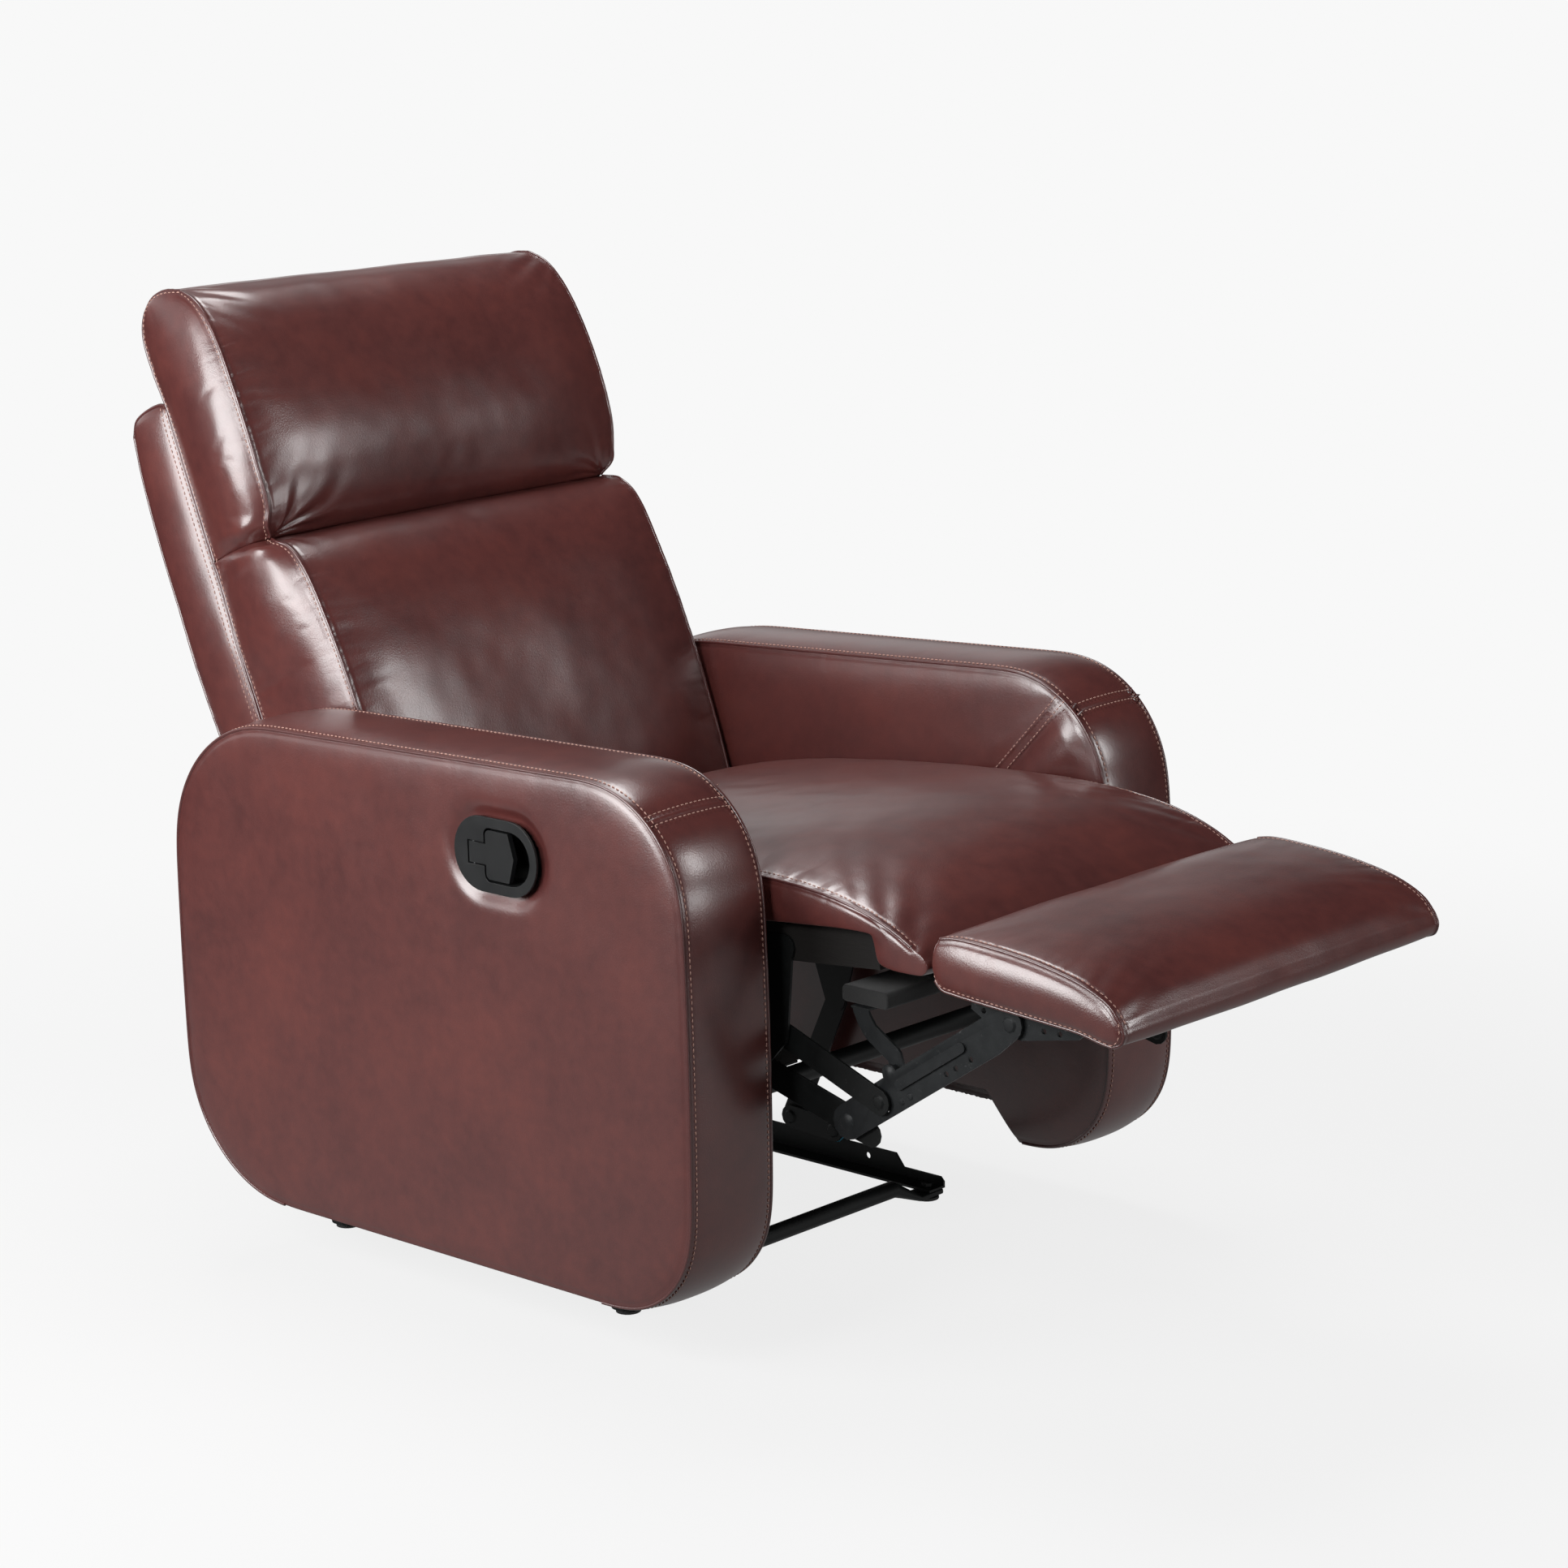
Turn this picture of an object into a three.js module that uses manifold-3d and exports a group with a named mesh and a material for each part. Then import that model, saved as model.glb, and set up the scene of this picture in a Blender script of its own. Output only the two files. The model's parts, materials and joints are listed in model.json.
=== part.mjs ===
// Recliner armchair with its footrest out and its back at an easy angle.
// Millimetres, +Z up, +X to the sitter's left, the chair faces -Y.
// Heights are measured from the underside of the arms until the last lines.
import * as THREE from 'three';
import { mergeVertices } from 'three/addons/utils/BufferGeometryUtils.js';
import Module from 'manifold-3d';

const wasm = await Module();
wasm.setup();

// ---------- driving sizes ----------
const seatGap = 0.3;            // between pieces that rest on each other
const chairWidth = 800;
const armLift = 78;             // floor to the underside of the arms
const arm = {
  thick: 128, length: 786, height: 556, bulge: 8,
  frontTop: 125, rearTop: 162, frontFoot: 112, rearFoot: 150, fall: 0.025,
  panel: 12, band: 18, bandCrown: 4, edge: 5,
  openHeight: 60, openFront: -260, openLean: 47,
};
const armFrame = { sheet: 12, width: 34, block: 46, topBlocks: [-200, 0, 200] };
const armFaceIn = chairWidth / 2 - arm.thick;
const armPlay = { rails: 12, seat: 10, footrest: 11, back: 6, flipper: 47 };   // inside the arms' faces
const plate = 3;                // link and side plate steel
const washer = 1.4;
const step = plate + washer + 2 * seatGap;
const railWebOuter = armFaceIn - armPlay.rails;

const rail = { front: -158, rear: 330, height: 28, flange: 24, under: 12, nose: 13, noseLength: 62, ear: 14 };
const tube = { radius: 10, rise: 26, flatLength: 40, flatThick: 8, flatWidth: 28, fromEnd: 15 };
const armBracket = { thick: 3, width: 46, reach: 66, places: [158, 212] };

const frontSwing = { base: [75, -22], top: [-2, 139] };
const rearSwing = { base: [286, -22], top: [198, 139] };
const tieEnd = [6, -26];
const lowerLink = { pivot: [-330, 237], knee: [-468, 199], radius: 16 };
const secondLink = { pivot: [-381, 281], knee: [-517, 231], radius: 14 };
const footPivot = [-689, 343];
const channel = { width: 40, bead: 2.5, beadWidth: 11 };
const flipper = { pivot: [-528, 262], front: -514, rear: -451, under: 322, thick: 18,
  half: armFaceIn - armPlay.flipper, flangeReach: 24, edge: 5 };
const torqueTube = { at: [-292, 190], radius: 11 };
const backPivot = [162, 335];
const rivet = { radius: 9, head: 2.5, shank: 4, play: 0.3 };

const seat = {
  half: armFaceIn - armPlay.seat, tilt: 5, frameFront: -525, frameRear: 128, frameUnder: 372,
  rail: 42, board: 24, crown: 26,
  top: [[146, 392], [0, 418], [-180, 438], [-350, 449], [-450, 446], [-530, 431], [-588, 407]],
  nose: [[-600, 398], [-599, 390], [-591, 384]],
  lip: [[-8, 380], [-4, 386]], rear: [154, 366, 384],
};
const footrest = {
  half: armFaceIn - armPlay.footrest, tilt: 4, crown: 9, foot: 17,
  board: 12, boardInset: 16, boardSpan: [-120, 66],
  top: [[78, 70], [20, 74], [-45, 72], [-104, 66], [-142, 52], [-155, 40]],
  under: [[-159, 29], [-156, 17], [-145, 12], [-126, 15], [-100, 20], [60, 20], [76, 21], [84, 28],
    [86, 44], [84, 60]],
};
const back = {
  origin: [160, 345], tilt: 22, half: armFaceIn - armPlay.back, crown: 14, rim: 157.8,
  head: [[48, 437], [32, 470], [23, 510], [22, 560], [25, 620], [33, 670], [48, 702], [74, 724], [102, 728]],
  headRear: [[126, 724], [146, 709], [156, 684], [156.8, 640], [157.8, 440], [150, 433], [70, 433]],
  lumbar: [[0, 34], [-6, 120], [-8, 207], [-5, 281], [3, 352], [17, 400], [42, 424]],
  lumbarRear: [[62, 431], [150, 431], [157.8, 425], [157.8, 40], [150, 31], [8, 28]],
};
const shell = {
  foot: -18, top: 618, wall: 9, hollow: 214, lid: 14, frontCorner: [208, 6, 172],
  rear: [[219, -12], [229, 140], [240, 300], [243, 438], [238, 543], [229, 596]], crest: [[219, 610], [200, 618]],
};
const backWood = {
  play: 2.8, rear: 205, crossRear: 191, foot: -8, top: 596, post: 26, cross: [[-8, 46], [280, 320], [550, 596]],
};
const strap = {
  half: 20, thick: 1.8, levels: [90, 170, 250, 390, 470], uprights: [-110, 110], from: 20, to: 560,
};
const latch = {
  rear: -70, length: 124, height: 81, drop: 95, face: 3, depth: 30, wall: 2.5, gap: 1.4,
  tab: [-92, -117], tabHeight: 22.5, wide: [-117, -151], wideHeight: 53, tip: 8,
  pocket: [-115.5, -183.5], pocketHeight: 58, plate: 6, pinInset: 5, pin: 1.2, pinHalf: 14.5,
};

// ---------- finishes ----------
function finish(color, roughness, metalness = 0) {
  return new THREE.MeshStandardMaterial({ color, roughness, metalness });
}
const leather = finish(0x4a1612, 0.38);
const blackCloth = finish(0x0d0d0d, 0.95);
const blackSteel = finish(0x1b1c1d, 0.45, 0.6);
const greySteel = finish(0x47494b, 0.4, 0.7);
const springSteel = finish(0x6b6d70, 0.35, 0.9);
const blueNylon = finish(0x4fb3d6, 0.5);
const blackPlastic = finish(0x161718, 0.45);
const wood = finish(0xa98a5f, 0.8);
const darkWood = finish(0x1a1715, 0.8);
const webbing = finish(0x2a2a2c, 0.9);
const rubber = finish(0x121212, 0.9);

// ---------- helpers ----------
const rad = THREE.MathUtils.degToRad;
const chair = new THREE.Group();

function add(name, geometry, material, parent = chair) {
  const mesh = new THREE.Mesh(geometry, material);
  mesh.name = name;
  parent.add(mesh);
  return mesh;
}

function toSolid(geometry) {
  const bare = geometry.clone();
  for (const key of Object.keys(bare.attributes)) if (key !== 'position') bare.deleteAttribute(key);
  const merged = mergeVertices(bare, 1e-4);
  return new wasm.Manifold(new wasm.Mesh({
    numProp: 3,
    vertProperties: new Float32Array(merged.attributes.position.array),
    triVerts: new Uint32Array(merged.index.array),
  }));
}

function toGeometry(solid) {
  const mesh = solid.getMesh();
  const geometry = new THREE.BufferGeometry();
  geometry.setAttribute('position', new THREE.BufferAttribute(new Float32Array(mesh.vertProperties), 3));
  geometry.setIndex(new THREE.BufferAttribute(new Uint32Array(mesh.triVerts), 1));
  geometry.computeVertexNormals();
  return geometry;
}

const join = (...parts) => toGeometry(parts.map(toSolid).reduce((a, b) => a.add(b)));
const cut = (from, ...tools) => toGeometry(tools.map(toSolid).reduce((a, b) => a.subtract(b), toSolid(from)));

// Extrudes an outline drawn in (Y, Z) along X, between two values of X in any order.
function slab(shape, xA, xB, segments = 5) {
  const geometry = new THREE.ExtrudeGeometry(shape, {
    depth: Math.abs(xB - xA), bevelEnabled: false, curveSegments: segments,
  });
  geometry.applyMatrix4(new THREE.Matrix4().makeBasis(
    new THREE.Vector3(0, 1, 0), new THREE.Vector3(0, 0, 1), new THREE.Vector3(1, 0, 0)));
  return geometry.translate(Math.min(xA, xB), 0, 0);
}

function box(x, y, z) {
  const geometry = new THREE.BoxGeometry(Math.abs(x[1] - x[0]), Math.abs(y[1] - y[0]), Math.abs(z[1] - z[0]));
  return geometry.translate((x[0] + x[1]) / 2, (y[0] + y[1]) / 2, (z[0] + z[1]) / 2);
}

function rodX([y, z], xA, xB, radius, around = 10) {
  const geometry = new THREE.CylinderGeometry(radius, radius, Math.abs(xB - xA), around);
  return geometry.rotateZ(Math.PI / 2).translate((xA + xB) / 2, y, z);
}

function rodZ(x, y, zA, zB, radius, around = 12) {
  const geometry = new THREE.CylinderGeometry(radius, radius, Math.abs(zB - zA), around);
  return geometry.rotateX(Math.PI / 2).translate(x, y, (zA + zB) / 2);
}

// A domed rivet head on a face at X = face, bulging along dir.
function dome([y, z], face, dir, radius = rivet.radius, height = rivet.head) {
  const profile = [[0, 0], [radius, 0], [radius * 0.75, height * 0.75], [0, height]];
  const geometry = new THREE.LatheGeometry(profile.map((p) => new THREE.Vector2(...p)), 8);
  return geometry.rotateZ(-dir * Math.PI / 2).translate(face, y, z);
}

// A rivet shank from one face through its mate to a domed head beyond.
function pin(at, from, through, dir, radius = rivet.radius) {
  const end = through + dir * seatGap;
  return join(rodX(at, from - dir, end + dir, rivet.shank, 8), dome(at, end, dir, radius));
}

const boss = (at, from, to, radius = 12) => rodX(at, from, to, radius);
const pinHole = ([y, z]) => [y, z, rivet.shank + rivet.play];

// The outline of a tight band round a set of discs [y, z, radius].
function aroundDiscs(discs, around = 12) {
  const points = discs.flatMap(([y, z, r]) => Array.from({ length: around }, (_, i) => {
    const a = (i / around) * 2 * Math.PI;
    return new THREE.Vector2(y + r * Math.cos(a), z + r * Math.sin(a));
  }));
  points.sort((p, q) => p.x - q.x || p.y - q.y);
  const turn = (o, a, b) => (a.x - o.x) * (b.y - o.y) - (a.y - o.y) * (b.x - o.x);
  const chain = (list) => list.reduce((out, p) => {
    while (out.length > 1 && turn(out.at(-2), out.at(-1), p) <= 1e-6) out.pop();
    return [...out, p];
  }, []);
  const low = chain(points);
  const high = chain([...points].reverse());
  return new THREE.Shape([...low.slice(0, -1), ...high.slice(0, -1)]);
}

function withHoles(shape, holes) {
  for (const [y, z, r] of holes) {
    const hole = new THREE.Path();
    hole.absarc(y, z, r, 0, 2 * Math.PI, true);
    shape.holes.push(hole);
  }
  return shape;
}

// Skins a row of closed loops, each { x, loop: [[y, z], ...] } with the same number of points.
function loft(stations) {
  const flat = ({ loop }) => loop.map(([y, z]) => new THREE.Vector2(y, z));
  const clockwise = THREE.ShapeUtils.isClockWise(flat(stations[0]));
  const rows = [...stations].sort((a, b) => a.x - b.x)
    .map(({ x, loop }) => ({ x, loop: clockwise ? [...loop].reverse() : loop }));
  const count = rows[0].loop.length;
  const faces = [];
  for (let row = 0; row + 1 < rows.length; row += 1) {
    for (let i = 0; i < count; i += 1) {
      const a = row * count + i;
      const b = row * count + ((i + 1) % count);
      faces.push([a, b, b + count], [a, b + count, a + count]);
    }
  }
  const last = (rows.length - 1) * count;
  for (const [a, b, c] of THREE.ShapeUtils.triangulateShape(flat(rows[0]), [])) faces.push([c, b, a]);
  for (const [a, b, c] of THREE.ShapeUtils.triangulateShape(flat(rows.at(-1)), [])) {
    faces.push([last + a, last + b, last + c]);
  }
  const points = rows.flatMap(({ x, loop }) => loop.flatMap(([y, z]) => [x, y, z]));
  const geometry = new THREE.BufferGeometry();
  geometry.setAttribute('position', new THREE.Float32BufferAttribute(points, 3));
  geometry.setIndex(faces.flat());
  geometry.computeVertexNormals();
  return geometry;
}

// A cushion: the side outline [[y, z, rise], ...] is repeated across the width, and each
// point moves up or out by its own share of the crown, most in the middle.
function cushion(outline, half, crown, push = [0, 1], rounding = 7) {
  const across = [-1, -0.98, -0.8, 0, 0.8, 0.98, 1];
  const centre = outline.reduce((s, [y, z]) => [s[0] + y / outline.length, s[1] + z / outline.length], [0, 0]);
  return loft(across.map((t) => {
    const inset = Math.abs(t) === 1 ? rounding : 0;
    const lift = crown * Math.sqrt(1 - t * t);
    return {
      x: t * half,
      loop: outline.map(([y, z, share]) => {
        const toCentre = new THREE.Vector2(centre[0] - y, centre[1] - z).normalize().multiplyScalar(inset);
        return [y + toCentre.x + push[0] * lift * share, z + toCentre.y + push[1] * lift * share];
      }),
    };
  }));
}

// A bent wire that runs straight from one given place to the next.
class BentWire extends THREE.Curve {
  constructor(places) {
    super();
    this.places = places;
  }

  getPoint(t) {
    const at = t * (this.places.length - 1);
    const i = Math.min(Math.floor(at + 1e-6), this.places.length - 2);
    return this.places[i].clone().lerp(this.places[i + 1], at - i);
  }

  getPointAt(t) {
    return this.getPoint(t);
  }
}

function wireAlong(path, radius, steps) {
  const around = 4;
  const section = new THREE.Shape(Array.from({ length: around }, (_, i) => new THREE.Vector2(
    radius * Math.cos((i * 2 * Math.PI) / around), radius * Math.sin((i * 2 * Math.PI) / around))));
  return new THREE.ExtrudeGeometry(section, { steps, extrudePath: path });
}

// Points of a smooth open line through the given places.
function smooth(points, divisions) {
  const curve = new THREE.SplineCurve(points.map((p) => new THREE.Vector2(p[0], p[1])));
  return curve.getPoints(divisions).map((p) => [p.x, p.y]);
}

const sides = [['right', -1], ['left', 1]];

// ---------- arms ----------
const armHalf = arm.length / 2;

// One quarter turn of a corner of the arm's side outline.
function corner(cy, cz, radius, from, steps) {
  return Array.from({ length: steps + 1 }, (_, i) => {
    const a = rad(from + (90 * i) / steps);
    return [cy + radius * Math.cos(a), cz + radius * Math.sin(a)];
  });
}

// The arm's top falls a little towards the back.
const armFall = (y, z) => arm.fall * y * THREE.MathUtils.clamp(z / arm.height, 0, 1);

// The arm's side outline, grown outward by `grow`, with its ends bowed out a little.
function armOutline(grow, steps = 6) {
  const bow = ([y, z]) => {
    const t = THREE.MathUtils.clamp((z - arm.height / 2) / (arm.height / 2), -1, 1);
    return [y + Math.sign(y) * arm.bulge * (1 - t * t), z - armFall(y, z)];
  };
  const end = armHalf + grow;
  const between = (from, to) => [0.25, 0.5, 0.75].map((t) => THREE.MathUtils.lerp(from, to, t));
  return [
    ...corner(armHalf - arm.rearFoot, arm.rearFoot, arm.rearFoot + grow, -90, steps),
    ...between(arm.rearFoot, arm.height - arm.rearTop).map((z) => [end, z]),
    ...corner(armHalf - arm.rearTop, arm.height - arm.rearTop, arm.rearTop + grow, 0, steps),
    ...corner(-armHalf + arm.frontTop, arm.height - arm.frontTop, arm.frontTop + grow, 90, steps),
    ...between(arm.height - arm.frontTop, arm.frontFoot).map((z) => [-end, z]),
    ...corner(-armHalf + arm.frontFoot, arm.frontFoot, arm.frontFoot + grow, 180, steps),
  ].map(bow);
}

function outlineShape(points) {
  return new THREE.Shape(points.map(([y, z]) => new THREE.Vector2(y, z)));
}

function armPanelOuter(side) {
  const inner = side * (chairWidth / 2 - arm.panel);
  const outer = side * (chairWidth / 2);
  const steps = [0, 0.4, 0.75, 1].map((t) => ({
    x: THREE.MathUtils.lerp(inner, outer, t),
    loop: armOutline(-arm.edge * (1 - Math.sqrt(1 - t * t * 0.98))),
  }));
  return loft(steps);
}

function armPanelInner(side) {
  const shape = outlineShape(armOutline(-1));
  const panel = slab(shape, side * armFaceIn, side * (armFaceIn + arm.panel));
  return cut(panel, underside(side * (armFaceIn - 1), side * (armFaceIn + arm.panel + 1)));
}

// The space under the arm's inner side, where the base comes in behind the front block.
function underside(xA, xB) {
  const lean = arm.openLean / arm.openHeight;
  return slab(outlineShape([[arm.openFront - arm.band * lean, -arm.band], [armHalf + arm.band, -arm.band],
    [armHalf + arm.band, arm.openHeight], [arm.openFront + arm.openLean, arm.openHeight]]), xA, xB);
}

// The padded strip round the arm's front, top and back, open below behind the front block.
function armBorder(side) {
  const from = armFaceIn + arm.panel + seatGap;
  const to = chairWidth / 2 - arm.panel - seatGap;
  const rows = [0, 0.12, 0.35, 0.65, 0.88, 1].map((t) => ({
    x: side * THREE.MathUtils.lerp(from, to, t),
    loop: armOutline(arm.bandCrown * Math.sqrt(Math.max(0, 1 - (2 * t - 1) ** 2)) - 1),
  }));
  const inside = slab(outlineShape(armOutline(-arm.band)), side * (from - 1), side * (to + 1));
  const mouth = box([side * (from - 1), side * (to + 1)],
    [arm.openFront, armHalf - arm.rearFoot], [-30, arm.band + 5]);
  return cut(loft(rows), inside, mouth);
}

// Two plywood side sheets with blocks between them.
function armWood(side) {
  const grow = -(arm.band + seatGap);
  const ring = () => {
    const shape = outlineShape(armOutline(grow, 3));
    shape.holes.push(new THREE.Path(armOutline(grow - armFrame.width, 3)
      .map(([y, z]) => new THREE.Vector2(y, z)).reverse()));
    return shape;
  };
  const inA = armFaceIn + arm.panel + seatGap;
  const outB = chairWidth / 2 - arm.panel - seatGap;
  const sheets = [[inA, inA + armFrame.sheet], [outB - armFrame.sheet, outB]]
    .map(([a, b]) => slab(ring(), side * a, side * b));
  const x = [side * (inA + armFrame.sheet - 1), side * (outB - armFrame.sheet + 1)];
  const rim = arm.band + seatGap;
  const low = [rim, rim + armFrame.width - 4];
  const high = (y) => [rim + armFrame.width - 4, rim + 2].map((drop) => arm.height - armFall(y, arm.height) - drop);
  const middle = [arm.height / 2 - armFrame.block, arm.height / 2 + armFrame.block];
  const ends = armHalf + arm.bulge - rim - 2;
  const blocks = [
    ...armBracket.places.map((y) => box(x, [y - armBracket.width / 2, y + armBracket.width / 2], low)),
    ...armFrame.topBlocks.map((y) => box(x, [y - armFrame.block / 2, y + armFrame.block / 2], high(y))),
    box(x, [-ends, -ends + armFrame.width - 4], middle),
    box(x, [ends - armFrame.width + 4, ends], middle),
  ];
  const under = underside(side * (inA - 1), side * (inA + armFrame.sheet + 1));
  return cut(join(...sheets, ...blocks), under);
}

// ---------- latch in the sitter's right arm ----------
const latchMiddle = arm.height - latch.drop;
const latchFace = -(chairWidth / 2 + seatGap + latch.face);
const latchBack = -(chairWidth / 2 - latch.depth);

function stadium() {
  const r = latch.height / 2;
  const front = latch.rear - latch.length + latch.height / 2;
  return aroundDiscs([[latch.rear - latch.height / 2, latchMiddle, r], [front, latchMiddle, r]], 32);
}

// The finger pocket with the slot for the tab, grown outward by `grow`.
function pocketShape(grow) {
  const tall = latch.pocketHeight / 2 + grow;
  const [rear, front] = [latch.pocket[0] + grow, latch.pocket[1] - grow];
  const slot = latch.tabHeight / 2 + latch.gap + grow;
  const slotRear = latch.tab[0] + latch.gap + grow;
  const m = latchMiddle;
  const shape = new THREE.Shape();
  shape.moveTo(slotRear, m - slot);
  shape.lineTo(slotRear, m + slot);
  shape.lineTo(rear, m + slot);
  shape.lineTo(rear, m + tall - 8);
  shape.absarc(rear - 8, m + tall - 8, 8, 0, Math.PI / 2, false);
  shape.absarc(front + tall, m, tall, Math.PI / 2, 1.5 * Math.PI, false);
  shape.absarc(rear - 8, m - tall + 8, 8, 1.5 * Math.PI, 2 * Math.PI, false);
  shape.lineTo(rear, m - slot);
  return shape;
}

function latchHousing() {
  const plateFace = slab(stadium(), latchFace, -(chairWidth / 2 + seatGap), 6);
  const cup = slab(pocketShape(latch.wall), latchFace + 1, latchBack, 6);
  const pocket = slab(pocketShape(0), latchFace - 1, latchBack - latch.wall, 6);
  const seatBore = rodZ(pinX, pinY, latchMiddle - latch.pinHalf - seatGap,
    latchMiddle + latch.pinHalf + seatGap, latch.pin + 0.15, 12);
  return cut(join(plateFace, cup), pocket, seatBore);
}

const pinY = latch.tab[0] - latch.pinInset;
const pinX = latchFace + latch.plate / 2 + 0.8;

function latchPaddle() {
  const m = latchMiddle;
  const [tabRear] = latch.tab;
  const [wideRear, wideFront] = latch.wide;
  const tab = latch.tabHeight / 2;
  const wide = latch.wideHeight / 2;
  const shape = new THREE.Shape();
  shape.moveTo(tabRear, m - tab);
  shape.lineTo(tabRear, m + tab);
  shape.lineTo(wideRear, m + tab);
  shape.lineTo(wideRear, m + wide - 6);
  shape.absarc(wideRear - 6, m + wide - 6, 6, 0, Math.PI / 2, false);
  shape.lineTo(wideFront, m + wide);
  shape.lineTo(wideFront - latch.tip, m);
  shape.lineTo(wideFront, m - wide);
  shape.lineTo(wideRear - 6, m - wide);
  shape.absarc(wideRear - 6, m - wide + 6, 6, 1.5 * Math.PI, 2 * Math.PI, false);
  shape.lineTo(wideRear, m - tab);
  const body = slab(shape, latchFace + 0.8, latchFace + 0.8 + latch.plate, 5);
  const bore = rodZ(pinX, pinY, m - 30, m + 30, latch.pin + 0.15, 12);
  const springRoom = box([latchFace + 1.5, latchFace + 20], [pinY - 5, tabRear + 2], [m - 4, m + 4]);
  return cut(body, bore, springRoom);
}

function latchSpring() {
  const turns = 3;
  const wire = 0.3;
  const r = latch.pin + seatGap + wire;
  const places = Array.from({ length: turns * 8 + 1 }, (_, i) => {
    const a = (i * Math.PI) / 4;
    return new THREE.Vector3(pinX + r * Math.cos(a), pinY + r * Math.sin(a),
      latchMiddle - 3 + (6 * i) / (turns * 8));
  });
  return wireAlong(new BentWire(places), wire, turns * 8);
}

for (const [name, side] of sides) {
  const outer = armPanelOuter(side);
  const mouth = slab(pocketShape(latch.wall + seatGap), latchFace - 5, latchBack + 5, 6);
  add(`arm_outer_panel_${name}`, side < 0 ? cut(outer, mouth) : outer, leather);
  add(`arm_border_${name}`, armBorder(side), leather);
  add(`arm_inner_panel_${name}`, armPanelInner(side), leather);
  add(`arm_frame_${name}`, armWood(side), darkWood);
}
add('latch_housing', latchHousing(), blackPlastic);
add('latch_paddle', latchPaddle(), blackPlastic);
add('latch_pin', rodZ(pinX, pinY, latchMiddle - latch.pinHalf, latchMiddle + latch.pinHalf, latch.pin, 12),
  springSteel);
add('latch_spring', latchSpring(), springSteel);

// ---------- base ----------
const floor = -armLift;
const layer = (n) => [railWebOuter - plate - n * step, railWebOuter - n * step];
const sided = (n, side) => layer(n).map((x) => side * x);
const [webInner, webOuter] = layer(0);
const allLayers = (side) => [layer(6)[0] - 5, webOuter + 2].map((x) => side * x);
const pivotBore = (at, side) => rodX(at, ...allLayers(side), rivet.shank + rivet.play);
const railLow = floor + rail.under;
const railHigh = railLow + rail.height;
const tubePlaces = [rail.front + tube.fromEnd, rail.rear - tube.fromEnd];
const boltX = webInner - rail.flange / 2;

// Steel shelves welded to the rail reach out under the wooden arm frames.
function armShelf(side, y) {
  const top = arm.band;
  const along = [y - armBracket.width / 2, y + armBracket.width / 2];
  const out = [side * (webOuter - 1), side * (webOuter + armBracket.thick)];
  return join(
    box(out, along, [railLow + 2, top]),
    box([side * (webOuter - 1), side * (webOuter + armBracket.reach)], along, [top - armBracket.thick, top]),
    dome([y, railLow + rail.height / 2], side * (webOuter + armBracket.thick), side, 7),
  );
}

function baseRail(side) {
  const nose = railLow + rail.nose;
  const web = withHoles(outlineShape([
    [rail.front, railLow], [rail.rear, railLow], [rail.rear, railHigh - 10],
    [rail.rear - 14, railHigh], [rail.front + rail.noseLength + 12, railHigh],
    [rail.front + rail.noseLength, nose], [rail.front + 5, nose], [rail.front, nose - 5],
  ]), [-40, 120, 250].map((y) => [y, railLow + 16, 4]));
  const ears = [tieEnd, frontSwing.base, rearSwing.base].map(([y, z]) => slab(aroundDiscs(
    [[y, z, rail.ear], [y, railLow + rail.ear + 2, rail.ear + 2]]), side * webInner, side * webOuter));
  const flange = box([side * (webInner - rail.flange), side * (webInner + 1)],
    [rail.front, rail.rear], [railLow, railLow + plate]);
  const boltHoles = tubePlaces.map((y) => rodZ(side * boltX, y, railLow - 1, railLow + plate + 1, 4.3));
  const tie = layer(2)[0];
  return cut(join(
    slab(web, side * webInner, side * webOuter),
    ...ears,
    flange,
    boss(tieEnd, side * (webInner + 1), side * (layer(2)[1] + washer + 2 * seatGap), 10),
    pin(tieEnd, side * webInner, side * tie, -side),
    pin(frontSwing.base, side * webInner, side * tie, -side),
    pin(rearSwing.base, side * webInner, side * layer(1)[0], -side),
    ...armBracket.places.map((y) => armShelf(side, y)),
  ), ...boltHoles);
}

// A round tube pressed flat at both ends, where it is bolted under the rail flanges.
function crossTube(y) {
  const tubeMiddle = floor + tube.rise;
  const flatMiddle = railLow - seatGap - tube.flatThick / 2;
  const around = 16;
  const section = (x, wide, high, z, power) => ({
    x,
    loop: Array.from({ length: around }, (_, i) => {
      const a = (i / around) * 2 * Math.PI;
      const [c, s] = [Math.cos(a), Math.sin(a)];
      return [y + wide * Math.sign(c) * Math.abs(c) ** power, z + high * Math.sign(s) * Math.abs(s) ** power];
    }),
  });
  const end = webOuter + 2;
  const half = [
    section(end, tube.flatWidth / 2 - 5, tube.flatThick / 2 - 1, flatMiddle, 0.6),
    section(end - 4, tube.flatWidth / 2, tube.flatThick / 2, flatMiddle, 0.5),
    section(end - tube.flatLength, tube.flatWidth / 2, tube.flatThick / 2, flatMiddle, 0.5),
    section(end - tube.flatLength * 1.9, tube.radius, tube.radius, tubeMiddle, 1),
  ];
  const bolts = sides.flatMap(([, side]) => [
    rodZ(side * boltX, y, flatMiddle, railLow + plate + 2, 4, 12),
    new THREE.CylinderGeometry(7, 7, 4, 6).rotateX(Math.PI / 2)
      .translate(side * boltX, y, railLow + plate + seatGap + 2),
  ]);
  return join(loft([...half, ...half.map(({ x, loop }) => ({ x: -x, loop }))]), ...bolts);
}

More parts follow.
